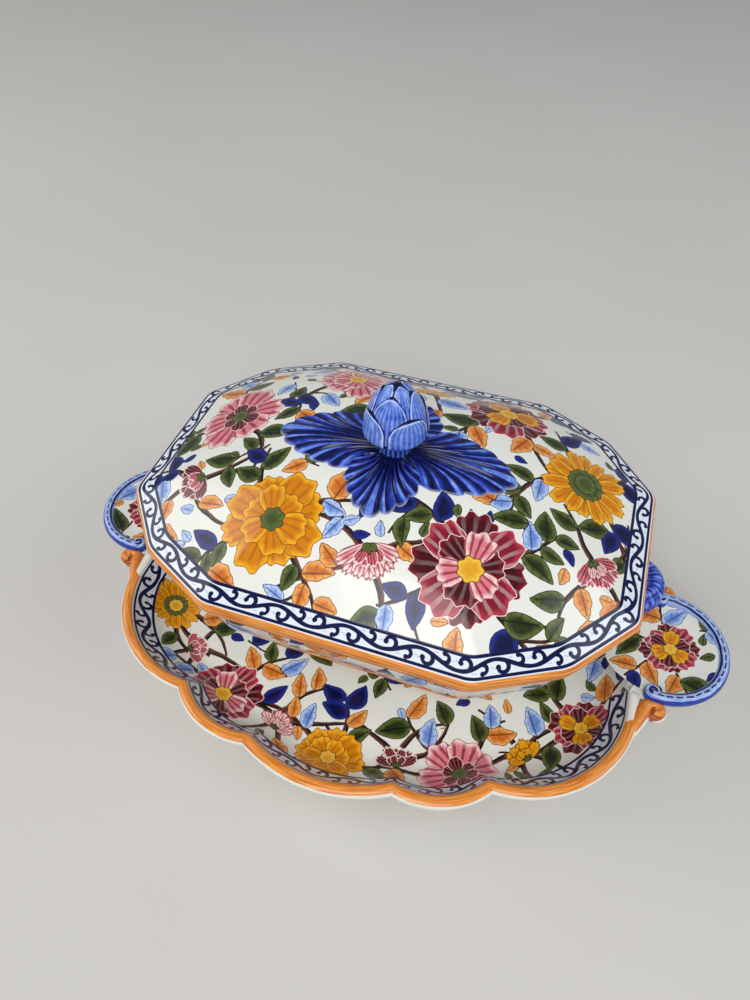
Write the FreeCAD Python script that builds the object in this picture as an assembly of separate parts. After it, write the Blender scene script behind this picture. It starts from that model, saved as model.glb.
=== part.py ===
import FreeCAD, Part
import math
import os

# A covered earthenware tureen on its stand, in millimetres, +Z up.
# The origin is on the table, at the middle of the stand. +X runs along the stand to the right ear.

V = FreeCAD.Vector
UP = V(0, 0, 1)

# Plan of lid and bowl: a rectangle whose corners are cut twice, which leaves twelve facets
COVER_LENGTH = 315.0
COVER_WIDTH = 228.0
CORNER_RUN_X = 79.5
CORNER_RUN_Y = 64.5
MID_CORNER_X = 32.5
MID_CORNER_Y = 24.5

# Plan of the stand: five lobes along each side, which meet in cusps, and a flat end under each ear
STAND_LENGTH = 470.0
STAND_WIDTH = 328.0
CENTRE_LOBE_CHORD = 97.0
CENTRE_LOBE_SAG = 12.5
SIDE_LOBE_RUN_X = 56.5
SIDE_LOBE_RUN_Y = 20.5
SIDE_LOBE_SAG = 8.5
CORNER_LOBE_RUN_X = 77.0
CORNER_LOBE_RUN_Y = 71.0
CORNER_LOBE_SAG = 19.5
LOBE_STEPS = (9, 5, 8, 5, 9, 1)

# Stand section
STAND_HEIGHT = 42.0
STAND_FLOOR_Z = 13.0
STAND_FLOOR_THICK = 7.0
RIM_WIDTH = 7.5
RIM_HEIGHT = 8.0
RIM_FLAT = 2.0
RIM_ROUND = 2.5
WELL_INSET = 33.0
WELL_LOBE_DEPTH = 0.5
STAND_FOOT_LENGTH = 250.0
STAND_FOOT_WIDTH = 170.0
STAND_FOOT_WALL = 9.0
STAND_FOOT_SIDES = 72
VOLUTE_RADIUS = 7.5
VOLUTE_EASE = 1.0
VOLUTE_EYE_RADIUS = 3.2
VOLUTE_EYE_HEIGHT = 1.4
VOLUTE_OUT_X = 10.0
VOLUTE_DOWN_Y = 13.0

# Ears
EAR_RADIUS = 43.5
EAR_RIM_WIDTH = 8.0
EAR_RIM_RISE = 5.0
EAR_UNDER_INSET = 15.0
EAR_FLOOR_RISE = 23.0
EAR_FLOOR_TILT = 5.0
EAR_THICK = 8.0
EAR_SIDES = 48
EAR_RIM_END = 4.0
EAR_RIM_DROP = 2.0
EAR_CURL_RADIUS = 5.0
EAR_CURL_INSET = 2.0
EAR_CURL_SIDES = 16

# Bowl
BOWL_HEIGHT = 109.0
BOWL_FOOT_HEIGHT = 18.0
BOWL_FOOT_WALL = 8.0
BOWL_FOOT_FLARE = 6.0
BOWL_WALL = 5.0
BOWL_FLOOR = 8.0
BOWL_RIM_HEIGHT = 8.0
BOWL_RIM_OVERHANG = 8.0
BELLY_TAPER = 44.0
BELLY_POWER = 2.2
BELLY_STEPS = 7
BOWL_RIM_PROFILE = ((0.2, 1.0), (0.5, -0.5), (1.0, 0.0))
BOWL_FOOT_PROFILE = ((0.0, 1.0), (0.22, 1.0), (0.45, 0.1), (0.6, -0.2), (1.0, 0.0))

# Bowl handles: level loops, ribbed along their length
HANDLE_REACH = 23.5
HANDLE_LOOP_RADIUS = 14.0
HANDLE_THICK = 13.0
HANDLE_HEIGHT = 20.0
HANDLE_BELOW_RIM = 3.0
HANDLE_RIBS = 7
HANDLE_GROOVE = 0.1
HANDLE_STEPS = 8

# Lid
LIP_HEIGHT = 8.0
LIP_SWELL = 2.6
LIP_STEPS = 6
BAND_WIDTH = 12.0
BAND_RISE = 5.0
DOME_RISE = 34.0
DOME_POWER = 2.35
DOME_LEVELS = (1.0, 0.94, 0.86, 0.77, 0.67, 0.56, 0.44, 0.31, 0.18, 0.08)
LID_WALL = 6.5
FLANGE_DEPTH = 10.0
FLANGE_WALL = 5.0
FLANGE_CLEARANCE = 2.0

# Finial
LEAF_LONG = 74.0
LEAF_SHORT = 50.0
LEAF_LONG_WIDTH = 50.0
LEAF_SHORT_WIDTH = 46.0
LEAF_LOBES = 5
LEAF_ROOT = 0.12
LEAF_NOTCH = 0.86
LEAF_LOBE_BOW = 0.26
LEAF_LOBE_STEPS = 4
LEAF_BELLY = 0.75
LEAF_FULLNESS = 0.8
LEAF_RIB_REACH = 0.94
LEAF_RIB_ROOT = 0.55
LEAF_RIB_TURN = (0.75, 0.3)
LEAF_RIB_STEPS = 3
LEAF_THICK = 3.5
LEAF_RIB_RISE = 1.4
LEAF_RIB_WIDTH = 3.0
COLLAR_RADIUS = 11.0
COLLAR_FOOT_RADIUS = 9.8
COLLAR_HEIGHT = 11.0
COLLAR_FLUTES = 20
COLLAR_GROOVE = 0.08
BUD_RADIUS = 19.5
BUD_HEIGHT = 39.0
BUD_SCALES = 4
BUD_SCALE_SIDES = 8
BUD_ROWS = 3
BUD_ROW_SHARES = ((0.32, 0.6), (0.58, 0.89), (0.8, 0.985))
BUD_GAP_PROFILE = ((0.3, 0.15), (0.55, 0.32), (0.78, 0.52), (0.92, 0.72), (1.0, 1.0))
BUD_SCALE_STEP = 1.1
BUD_PROFILE = ((0.0, 0.54), (0.05, 0.76), (0.1, 0.91), (0.18, 1.0), (0.3, 0.985), (0.45, 0.94), (0.6, 0.86),
               (0.72, 0.76), (0.82, 0.645), (0.9, 0.52), (0.96, 0.38), (1.0, 0.19))

# Levels that follow from the sizes above
SEAT_Z = STAND_FLOOR_Z + BOWL_HEIGHT
LINE_Z = SEAT_Z + LIP_HEIGHT
DOME_Z = LINE_Z + BAND_RISE
DOME_TOP_Z = DOME_Z + DOME_RISE
BELLY_TOP_Z = SEAT_Z - BOWL_RIM_HEIGHT
BELLY_BASE_Z = STAND_FLOOR_Z + BOWL_FOOT_HEIGHT
COLLAR_TOP_Z = DOME_TOP_Z + COLLAR_HEIGHT
FLANGE_INSET = BOWL_RIM_OVERHANG + BOWL_WALL + FLANGE_CLEARANCE

# How far the middle of each facet stands out, as a share of its length, where the dome is a smooth oval
SMOOTH_BOW = (0.0685, 0.056, 0.060, 0.056, 0.0685, 0.086)

# Four points closer to one plane than this make one flat facet
FLAT = 1e-4


def mirrored(quarter):
    """The twelve corners, anticlockwise, of a plan whose first quarter is given."""
    left = [(-x, y) for x, y in reversed(quarter)]
    upper = list(quarter) + left
    return upper + [(-x, -y) for x, y in upper]


def cover_corners():
    """Corners of the lid and bowl plan."""
    half_x = COVER_LENGTH / 2
    half_y = COVER_WIDTH / 2
    return mirrored([
        (half_x, half_y - CORNER_RUN_Y),
        (half_x - MID_CORNER_X, half_y - MID_CORNER_Y),
        (half_x - CORNER_RUN_X, half_y),
    ])


def stand_corners():
    """Cusps of the stand's plan, and the ends of its corner lobes."""
    cusp_x = CENTRE_LOBE_CHORD / 2
    cusp_y = STAND_WIDTH / 2 - CENTRE_LOBE_SAG
    outer_x = cusp_x + SIDE_LOBE_RUN_X
    outer_y = cusp_y - SIDE_LOBE_RUN_Y
    return mirrored([
        (outer_x + CORNER_LOBE_RUN_X, outer_y - CORNER_LOBE_RUN_Y),
        (outer_x, outer_y),
        (cusp_x, cusp_y),
    ])


def inset_corners(corners, inset):
    """Corners of a polygon whose sides have all moved inwards by the same distance."""
    count = len(corners)
    lines = []
    for i in range(count):
        ax, ay = corners[i]
        bx, by = corners[(i + 1) % count]
        length = math.hypot(bx - ax, by - ay)
        nx, ny = (by - ay) / length, (ax - bx) / length
        lines.append((nx, ny, nx * ax + ny * ay - inset))
    moved = []
    for i in range(count):
        ax, ay, ad = lines[i - 1]
        bx, by, bd = lines[i]
        cross = ax * by - ay * bx
        moved.append(((ad * by - bd * ay) / cross, (ax * bd - bx * ad) / cross))
    return moved


def bowed_points(start, end, sag, steps):
    """Points from start up to, but without, end, on an arc that bows outwards by its sag."""
    chord = end - start
    if sag <= 0:
        return [start + chord * (i / steps) for i in range(steps)]
    half = chord.Length / 2
    radius = (half ** 2 + sag ** 2) / (2 * sag)
    outward = V(chord.y, -chord.x, 0).normalize()
    centre = (start + end) * 0.5 + outward * (sag - radius)
    sweep = 2 * math.asin(half / radius)
    turns = [FreeCAD.Rotation(UP, math.degrees(sweep * i / steps)) for i in range(steps)]
    return [centre + turn.multVec(start - centre) for turn in turns]


def cover_ring(inset, z):
    """Straight-sided outline of lid or bowl."""
    return [V(x, y, z) for x, y in inset_corners(cover_corners(), inset)]


def stand_ring(inset, z, lobe_depth=1.0):
    """Scalloped outline of the stand."""
    sags = (CORNER_LOBE_SAG, SIDE_LOBE_SAG, CENTRE_LOBE_SAG, SIDE_LOBE_SAG, CORNER_LOBE_SAG, 0.0)
    corners = [V(x, y, z) for x, y in inset_corners(stand_corners(), inset)]
    points = []
    for i, start in enumerate(corners):
        end = corners[(i + 1) % len(corners)]
        edge = i % len(sags)
        points += bowed_points(start, end, sags[edge] * lobe_depth, LOBE_STEPS[edge])
    return points


def dome_ring(corners, scale, z):
    """Outline of the dome: each facet breaks at its middle, which stands out more and more upwards."""
    roundness = min(1.0, 2.0 * (1.0 - scale))
    points = []
    for i, (ax, ay) in enumerate(corners):
        bx, by = corners[(i + 1) % len(corners)]
        bow = SMOOTH_BOW[i % len(SMOOTH_BOW)] * roundness
        mid_x = (ax + bx) / 2 + (by - ay) * bow
        mid_y = (ay + by) / 2 - (bx - ax) * bow
        points += [V(ax * scale, ay * scale, z), V(mid_x * scale, mid_y * scale, z)]
    return points


def round_ring(count, radius, z, groove=0.0):
    """Points on a level circle. Every other one may stand in by a share of the radius."""
    points = []
    for i in range(count):
        angle = 2 * math.pi * i / count
        out = radius if i % 2 else radius * (1 - groove)
        points.append(V(out * math.cos(angle), out * math.sin(angle), z))
    return points


def facet(points):
    """Flat face with straight sides."""
    return Part.Face(Part.makePolygon(points + points[:1]))


def skin(rings):
    """Closed solid through a stack of rings of points, with flat facets between each ring and the next."""
    faces = [facet(rings[0]), facet(rings[-1])]
    for lower, upper in zip(rings, rings[1:]):
        for i in range(len(lower)):
            a, b, c, d = lower[i - 1], lower[i], upper[i], upper[i - 1]
            normal = (b - a).cross(c - a).normalize()
            if abs(normal.dot(d - a)) < FLAT:
                faces.append(facet([a, b, c, d]))
            else:
                faces += [facet([a, b, c]), facet([a, c, d])]
    solid = Part.Solid(Part.Shell(faces))
    if solid.Volume < 0:
        solid.reverse()
    return solid


def prism(points, height):
    """Upright solid on a level ring of points."""
    return facet(points).extrude(UP * height)


def mirrored_x(shape):
    """The same shape at the other end."""
    return shape.mirror(V(0, 0, 0), V(1, 0, 0))


def dome_solid(base_inset, base_z, rise):
    """Domed block on the cover plan, flattened towards its top."""
    corners = inset_corners(cover_corners(), base_inset)
    rings = []
    for scale in DOME_LEVELS:
        rings.append(dome_ring(corners, scale, base_z + rise * (1 - scale ** DOME_POWER)))
    return skin(rings)


def lid_shell():
    """Lid: rounded lip, sloping border band, dome, and a flange that locates it in the bowl."""
    rings = []
    for i in range(LIP_STEPS + 1):
        swell = LIP_SWELL * math.sin(math.pi * i / LIP_STEPS)
        rings.append(cover_ring(-swell, SEAT_Z + LIP_HEIGHT * i / LIP_STEPS))
    rings.append(cover_ring(BAND_WIDTH, DOME_Z))
    body = skin(rings)
    body = body.fuse(dome_solid(BAND_WIDTH, DOME_Z, DOME_RISE))
    body = body.fuse(prism(cover_ring(FLANGE_INSET, SEAT_Z - FLANGE_DEPTH), FLANGE_DEPTH))
    bore = FLANGE_INSET + FLANGE_WALL
    hollow = prism(cover_ring(bore, SEAT_Z - FLANGE_DEPTH), FLANGE_DEPTH + LIP_HEIGHT)
    hollow = hollow.fuse(dome_solid(bore, LINE_Z, DOME_TOP_Z - LID_WALL - LINE_Z))
    return body.cut(hollow)


def belly_inset(z):
    """How far the bowl's outside stands in from the cover outline at a height."""
    fall = (BELLY_TOP_Z - z) / (BELLY_TOP_Z - BELLY_BASE_Z)
    return BOWL_RIM_OVERHANG + BELLY_TAPER * max(0.0, fall) ** BELLY_POWER


def belly_rings(wall, base_z):
    """Rings of the bowl's outside, moved in by a wall thickness, from a base up to the rim's foot."""
    rings = []
    for i in range(BELLY_STEPS + 1):
        z = base_z + (BELLY_TOP_Z - base_z) * i / BELLY_STEPS
        rings.append(cover_ring(belly_inset(z) + wall, z))
    return rings


def bowl_body():
    """Outside of the bowl, not yet hollow, with its projecting seat rim."""
    rings = belly_rings(0, BELLY_BASE_Z)
    for level, inset in BOWL_RIM_PROFILE:
        rings.append(cover_ring(inset, BELLY_TOP_Z + BOWL_RIM_HEIGHT * level))
    return skin(rings)


def bowl_shell(outside):
    """Twelve-sided bowl with a flat floor, open at its rim."""
    rings = belly_rings(BOWL_WALL, BELLY_BASE_Z + BOWL_FLOOR)
    rings.append(cover_ring(BOWL_RIM_OVERHANG + BOWL_WALL, SEAT_Z))
    return outside.cut(skin(rings))


def bowl_foot():
    """Flared foot that carries the bowl on the stand's floor."""
    top_inset = belly_inset(BELLY_BASE_Z)
    outer = []
    inner = []
    for level, flare in BOWL_FOOT_PROFILE:
        z = STAND_FLOOR_Z + BOWL_FOOT_HEIGHT * level
        inset = top_inset - BOWL_FOOT_FLARE * flare
        outer.append(cover_ring(inset, z))
        inner.append(cover_ring(inset + BOWL_FOOT_WALL, z))
    return skin(outer).cut(skin(inner))


def loop_ring(centre, angle):
    """Oval section of a handle loop with ribs all round it, at an angle about the loop's centre."""
    count = 2 * HANDLE_RIBS
    turn = FreeCAD.Rotation(UP, angle)
    points = []
    for i in range(count):
        round_angle = 2 * math.pi * i / count
        swell = 1.0 if i % 2 else 1.0 - HANDLE_GROOVE
        out = HANDLE_LOOP_RADIUS + HANDLE_THICK / 2 * swell * math.cos(round_angle)
        rise = HANDLE_HEIGHT / 2 * swell * math.sin(round_angle)
        points.append(centre + turn.multVec(V(out, 0, rise)))
    return points


def handle(side, outside):
    """Level loop on the bowl's end, ribbed along its length, with room for a finger inside it."""
    z = BELLY_TOP_Z - HANDLE_BELOW_RIM - HANDLE_HEIGHT / 2
    root_x = COVER_LENGTH / 2 - belly_inset(z - HANDLE_HEIGHT / 2) - 2 * BOWL_WALL
    bend_x = COVER_LENGTH / 2 - BOWL_RIM_OVERHANG + HANDLE_REACH - HANDLE_THICK / 2 - HANDLE_LOOP_RADIUS
    rings = [loop_ring(V(root_x, 0, z), -90)]
    for i in range(HANDLE_STEPS + 1):
        rings.append(loop_ring(V(bend_x, 0, z), -90 + 180 * i / HANDLE_STEPS))
    rings.append(loop_ring(V(root_x, 0, z), 90))
    solid = skin(rings).cut(outside)
    return solid if side > 0 else mirrored_x(solid)


def stand_body():
    """Outside of the stand, not yet hollow."""
    return skin([
        stand_ring(WELL_INSET, STAND_FLOOR_Z - STAND_FLOOR_THICK, WELL_LOBE_DEPTH),
        stand_ring(0, STAND_HEIGHT - RIM_HEIGHT),
        stand_ring(0, STAND_HEIGHT - RIM_ROUND),
        stand_ring((RIM_WIDTH - RIM_FLAT) / 4, STAND_HEIGHT - RIM_ROUND / 4),
        stand_ring((RIM_WIDTH - RIM_FLAT) / 2, STAND_HEIGHT),
    ])


def stand_well():
    """Space inside the stand: flat floor, sloping walls and a round-over up to the rim's crest."""
    return skin([
        stand_ring(WELL_INSET, STAND_FLOOR_Z, WELL_LOBE_DEPTH),
        stand_ring(RIM_WIDTH, STAND_HEIGHT - RIM_ROUND),
        stand_ring(RIM_WIDTH - (RIM_WIDTH - RIM_FLAT) / 4, STAND_HEIGHT - RIM_ROUND / 4),
        stand_ring((RIM_WIDTH + RIM_FLAT) / 2, STAND_HEIGHT),
    ])


def volute():
    """Scroll that ends the rim beside the right ear: a domed button with a raised eye, on a curved neck."""
    end_x, end_y = stand_corners()[0]
    inner_x, inner_y = inset_corners(stand_corners(), RIM_WIDTH)[0]
    low = STAND_HEIGHT - RIM_HEIGHT
    centre = V(end_x + VOLUTE_OUT_X, end_y - VOLUTE_DOWN_Y, low)
    shoulder = VOLUTE_RADIUS - RIM_ROUND
    button = Part.makeCylinder(VOLUTE_RADIUS, RIM_HEIGHT - RIM_ROUND, centre)
    cap = Part.makeCone(VOLUTE_RADIUS, shoulder, RIM_ROUND, centre + UP * (RIM_HEIGHT - RIM_ROUND))
    crest = centre + UP * RIM_HEIGHT
    eye = Part.makeCone(VOLUTE_EYE_RADIUS, VOLUTE_EYE_RADIUS / 2, VOLUTE_EYE_HEIGHT, crest)
    root = V(end_x, end_y, low)
    inner = V(inner_x, inner_y, low)
    outer_end = centre + V(0, VOLUTE_RADIUS, 0)
    inner_end = centre - V(0, VOLUTE_RADIUS, 0)
    neck = Part.Wire([
        Part.Arc(root, V(root.x + VOLUTE_EASE, outer_end.y + VOLUTE_EASE, low), outer_end).toShape(),
        Part.LineSegment(outer_end, inner_end).toShape(),
        Part.Arc(inner_end, V(inner.x + VOLUTE_RADIUS / 2, centre.y, low), inner).toShape(),
        Part.LineSegment(inner, root).toShape(),
    ])
    bridge = Part.Face(neck).extrude(UP * (RIM_HEIGHT - VOLUTE_EASE))
    return button.fuse([cap, eye, bridge])


def ear_ring(radius, z):
    """Round outline of the right ear."""
    middle = V(STAND_LENGTH / 2 - EAR_RADIUS, 0, 0)
    return [middle + point for point in round_ring(EAR_SIDES, radius, z)]


def ear_hollow():
    """Space above the right ear's sloping inner face, which also opens the stand's end towards it."""
    floor_z = STAND_FLOOR_Z + EAR_FLOOR_RISE
    block = prism(ear_ring(EAR_RADIUS - EAR_RIM_WIDTH, floor_z), STAND_HEIGHT)
    block.rotate(V(STAND_LENGTH / 2 - 2 * EAR_RADIUS, 0, floor_z), V(0, 1, 0), -EAR_FLOOR_TILT)
    return block


def ear_rim_gap():
    """Space between the dish and the ends of the right ear's raised rim."""
    end_x = STAND_LENGTH / 2 - EAR_RADIUS - EAR_RIM_END
    return Part.makeBox(end_x, STAND_WIDTH, STAND_HEIGHT, V(0, -STAND_WIDTH / 2, STAND_HEIGHT - EAR_RIM_DROP))


def ear_curls(low_z, top_z):
    """Round scrolls in which the right ear's rim ends, beside the volutes."""
    end_x = STAND_LENGTH / 2 - EAR_RADIUS - EAR_RIM_END
    end_y = math.sqrt((EAR_RADIUS - EAR_RIM_WIDTH / 2) ** 2 - EAR_RIM_END ** 2) - EAR_CURL_INSET
    base_z = low_z + EAR_THICK / 2
    ring = round_ring(EAR_CURL_SIDES, EAR_CURL_RADIUS, base_z)
    curls = []
    for y in (end_y, -end_y):
        curls.append(prism([V(end_x, y, 0) + point for point in ring], top_z - base_z))
    return curls


def stand_dish(outside):
    """Scalloped dish: sloping wall, rounded rim, volutes, and ends opened towards the ears."""
    hollow = ear_hollow()
    scroll = volute()
    scrolls = [scroll, scroll.mirror(V(0, 0, 0), V(0, 1, 0))]
    scrolls += [mirrored_x(shape) for shape in scrolls]
    return outside.cut(stand_well()).cut(hollow).cut(mirrored_x(hollow)).fuse(scrolls)


def stand_foot():
    """Oval foot ring under the dish."""
    height = STAND_FLOOR_Z - STAND_FLOOR_THICK
    ovals = []
    for wall in (0, STAND_FOOT_WALL):
        half_x = STAND_FOOT_LENGTH / 2 - wall
        half_y = STAND_FOOT_WIDTH / 2 - wall
        ring = round_ring(STAND_FOOT_SIDES, 1.0, 0)
        ovals.append(prism([V(p.x * half_x, p.y * half_y, 0) for p in ring], height))
    return ovals[0].cut(ovals[1])


def ear(side, dish, stand_outside):
    """Lug handle: a round scoop with a raised rim, seated against the end of the dish."""
    low_z = STAND_FLOOR_Z + EAR_FLOOR_RISE - EAR_THICK
    top_z = STAND_HEIGHT + EAR_RIM_RISE
    crown = EAR_RIM_WIDTH / 4
    scoop = skin([
        ear_ring(EAR_RADIUS - EAR_UNDER_INSET, low_z),
        ear_ring(EAR_RADIUS, top_z - 2 * crown),
        ear_ring(EAR_RADIUS - crown / 4, top_z - crown / 2),
        ear_ring(EAR_RADIUS - crown, top_z),
    ])
    column = prism(stand_ring(0, STAND_HEIGHT - RIM_HEIGHT), STAND_HEIGHT)
    scoop = scoop.cut(ear_hollow()).cut(ear_rim_gap()).fuse(ear_curls(low_z, top_z))
    solid = scoop.cut(stand_outside).cut(column).cut(dish)
    return solid if side > 0 else mirrored_x(solid)


def leaf_half_width(width, along):
    """Half-width of a leaf at a share of its length."""
    return width / 2 * math.sin(math.pi * along ** LEAF_BELLY) ** LEAF_FULLNESS


def leaf_notch(length, width, index, z):
    """Point between two lobes on a leaf's left edge. Index 0 is its root."""
    along = LEAF_ROOT + (1 - LEAF_ROOT) * index / (LEAF_LOBES + 1)
    return V(length * along, leaf_half_width(width, along) * LEAF_NOTCH, z)


def leaf_outline(length, width, z):
    """Pointed leaf along +X with round lobes on both sides."""
    left = [leaf_notch(length, width, i, z) for i in range(LEAF_LOBES + 1)]
    right = [V(p.x, -p.y, z) for p in left]
    corners = right + [V(length, 0, z)] + left[::-1]
    points = []
    for start, end in zip(corners, corners[1:]):
        points += bowed_points(start, end, LEAF_LOBE_BOW * (end - start).Length, LEAF_LOBE_STEPS)
    return points + corners[-1:]


def curved_points(root, tip):
    """Points from a rib's root towards its tip, at first nearly along the midrib."""
    ahead, aside = LEAF_RIB_TURN
    turn = V(root.x + (tip.x - root.x) * ahead, tip.y * aside, root.z)
    points = []
    for i in range(LEAF_RIB_STEPS):
        share = i / LEAF_RIB_STEPS
        points.append(root * (1 - share) ** 2 + turn * (2 * share * (1 - share)) + tip * share ** 2)
    return points


def leaf_ribs(length, width, z):
    """Plans of a leaf's midrib and of its side ribs, which bend out from it to the lobes."""
    half = LEAF_RIB_WIDTH / 2
    plans = [[V(0, -half, z), V(length * LEAF_RIB_REACH, 0, z), V(0, half, z)]]
    for i in range(LEAF_LOBES):
        start = leaf_notch(length, width, i, z)
        end = leaf_notch(length, width, i + 1, z)
        tip = (start + end) * 0.5
        root = start.x * LEAF_RIB_ROOT
        inner = curved_points(V(root, 0, z), tip)
        outer = curved_points(V(root + 2 * half, 0, z), tip)
        plan = outer + [tip] + inner[:0:-1]
        plans += [plan, [V(p.x, -p.y, z) for p in plan]]
    return plans


def leaf(length, width, angle, dome, collar):
    """Pressed leaf that lies on the dome, with raised ribs, trimmed to its quarter round the collar."""
    z = LINE_Z
    height = 2 * DOME_RISE
    quarter = prism([V(0, 0, z), V(length, -length, z), V(length, length, z)], height)
    blade = prism(leaf_outline(length, width, z), height).common(quarter)
    ribs = [prism(plan, height) for plan in leaf_ribs(length, width, z)]
    raised = ribs[0].fuse(ribs[1:]).common(blade)
    for shape in (blade, raised):
        shape.rotate(V(0, 0, 0), UP, angle)
    blade = blade.common(dome.translated(UP * LEAF_THICK))
    raised = raised.common(dome.translated(UP * (LEAF_THICK + LEAF_RIB_RISE)))
    return blade.fuse(raised).cut(dome).cut(collar)


def finial_collar(dome):
    """Fluted cup that stands on the dome and carries the bud."""
    count = 2 * COLLAR_FLUTES
    rings = [
        round_ring(count, COLLAR_FOOT_RADIUS, DOME_TOP_Z - LEAF_THICK, COLLAR_GROOVE),
        round_ring(count, COLLAR_RADIUS, COLLAR_TOP_Z, COLLAR_GROOVE),
    ]
    return skin(rings).cut(dome)


def bud_block(grow, top_share):
    """Faceted bud form, made larger by a step and cut off at a share of its height."""
    sides = BUD_SCALE_SIDES * BUD_SCALES
    rings = []
    for share, width in BUD_PROFILE:
        radius = BUD_RADIUS * width - BUD_ROWS * BUD_SCALE_STEP + grow
        rings.append(round_ring(sides, radius, COLLAR_TOP_Z + BUD_HEIGHT * share))
    keep = prism(round_ring(sides, 2 * BUD_RADIUS, COLLAR_TOP_Z), BUD_HEIGHT * top_share)
    return skin(rings).common(keep)


def scale_gap(angle, low_share, top_share):
    """Gap between two neighbouring bud scales, widening upwards round their tips."""
    half = math.pi * BUD_RADIUS / BUD_SCALES
    low = COLLAR_TOP_Z + BUD_HEIGHT * low_share
    run = BUD_HEIGHT * (top_share - low_share)
    sides = [V(0, half * width, low + run * share) for share, width in BUD_GAP_PROFILE]
    others = [V(0, -p.y, p.z) for p in reversed(sides)]
    gap = facet([V(0, 0, low)] + sides + others).extrude(V(2 * BUD_RADIUS, 0, 0))
    gap.rotate(V(0, 0, 0), UP, angle)
    return gap


def finial_bud():
    """Bud of rows of round-tipped scales, each row inside and above the last, round a closed heart."""
    pitch = 360.0 / BUD_SCALES
    solid = bud_block(0, 1.0)
    for row in range(BUD_ROWS):
        low_share, top_share = BUD_ROW_SHARES[row]
        scales = bud_block((BUD_ROWS - row) * BUD_SCALE_STEP, top_share)
        gaps = [scale_gap(pitch * (i + row / 2), low_share, top_share) for i in range(BUD_SCALES)]
        solid = solid.fuse(scales.cut(gaps))
    return solid


def main():
    """Builds every piece and writes it to its own file."""
    dome = dome_solid(BAND_WIDTH, DOME_Z, DOME_RISE)
    collar = finial_collar(dome)
    bowl_outside = bowl_body()
    stand_outside = stand_body()
    dish = stand_dish(stand_outside)
    nodes = {
        "stand_dish": dish,
        "stand_foot": stand_foot(),
        "ear_right": ear(1, dish, stand_outside),
        "ear_left": ear(-1, dish, stand_outside),
        "bowl_shell": bowl_shell(bowl_outside),
        "bowl_foot": bowl_foot(),
        "handle_right": handle(1, bowl_outside),
        "handle_left": handle(-1, bowl_outside),
        "lid_shell": lid_shell(),
        "leaf_right": leaf(LEAF_LONG, LEAF_LONG_WIDTH, 0, dome, collar),
        "leaf_back": leaf(LEAF_SHORT, LEAF_SHORT_WIDTH, 90, dome, collar),
        "leaf_left": leaf(LEAF_LONG, LEAF_LONG_WIDTH, 180, dome, collar),
        "leaf_front": leaf(LEAF_SHORT, LEAF_SHORT_WIDTH, 270, dome, collar),
        "finial_collar": collar,
        "finial_bud": finial_bud(),
    }
    os.makedirs("parts", exist_ok=True)
    for name, shape in nodes.items():
        box = shape.BoundBox
        print(name, len(shape.Solids), shape.isValid(), round(shape.Volume),
              [round(v, 1) for v in (box.XMin, box.XMax, box.YMin, box.YMax, box.ZMin, box.ZMax)])
        shape.exportStep("parts/" + name + ".step")


main()
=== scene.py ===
"""Looks of a covered earthenware tureen on its stand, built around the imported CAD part. Lengths are in mm."""

import logging
import math
from dataclasses import dataclass, field
from enum import Enum, IntEnum
from typing import Callable, Dict, List, Optional, Sequence, Tuple, Union

import bpy
import numpy as np
from mathutils import Matrix, Vector


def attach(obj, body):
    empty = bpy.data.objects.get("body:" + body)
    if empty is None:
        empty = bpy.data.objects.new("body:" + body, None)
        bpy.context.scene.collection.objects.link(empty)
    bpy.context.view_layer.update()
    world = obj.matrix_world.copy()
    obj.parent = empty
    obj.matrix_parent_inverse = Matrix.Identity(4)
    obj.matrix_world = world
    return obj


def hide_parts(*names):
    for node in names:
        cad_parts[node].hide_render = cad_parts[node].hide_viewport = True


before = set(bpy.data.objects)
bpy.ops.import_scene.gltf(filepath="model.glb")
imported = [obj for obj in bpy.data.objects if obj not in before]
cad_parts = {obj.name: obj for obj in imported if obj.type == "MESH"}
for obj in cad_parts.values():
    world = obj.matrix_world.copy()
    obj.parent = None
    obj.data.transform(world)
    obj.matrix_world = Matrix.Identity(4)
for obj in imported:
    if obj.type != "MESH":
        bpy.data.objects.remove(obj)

LOG = logging.getLogger("tureen")
MM = 0.001
TAU = 2 * math.pi
FAR = 1.0e4
PALETTE_SPAN = 32.0
Colour = Tuple[float, float, float]
Place = Sequence[float]
Pair = Tuple[float, float]
Array = np.ndarray
Material = bpy.types.Material
Tree = bpy.types.NodeTree
Socket = bpy.types.NodeSocket
Value = Union[Socket, float, Sequence[float], None]


def linear(red: float, green: float, blue: float) -> Tuple[float, float, float, float]:
    """Turns a display colour into the renderer's own.

    Args:
        red, green, blue: Display values from 0 to 255.
    Returns:
        Linear colour with full alpha.
    """
    shares = (value / 255.0 for value in (red, green, blue))
    parts = [share / 12.92 if share <= 0.04045 else ((share + 0.055) / 1.055) ** 2.4 for share in shares]
    return (parts[0], parts[1], parts[2], 1.0)


def smooth(low: float, high: float, value: Array) -> Array:
    """Smooth step from 0 at low to 1 at high."""
    share = np.clip((value - low) / (high - low), 0.0, 1.0)
    return share * share * (3.0 - 2.0 * share)


def toward(angle: float) -> Array:
    """Unit step in a heading given in radians."""
    return np.array([math.cos(angle), math.sin(angle)])


def circle(count: int) -> Array:
    """Even headings all round, in radians."""
    return np.linspace(0, TAU, count, endpoint=False)


class Body(Enum):
    """CAD bodies that pieces ride on."""

    STAND = "stand"
    BOWL = "bowl"
    LID = "lid"


class Slot(Enum):
    """Names of material slots."""

    PAINTED = "painted_glaze"
    WHITE = "white_glaze"
    COBALT = "cobalt_glaze"


class Layer(IntEnum):
    """Layers of paint, from the lowest to the highest."""

    TWIG = 0
    TWIG_OVER = 1
    LEAF = 2
    LEAF_OVER = 3
    PETAL = 4
    PETAL_OVER = 5
    INNER = 6
    INNER_OVER = 7
    HEART = 8


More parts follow.
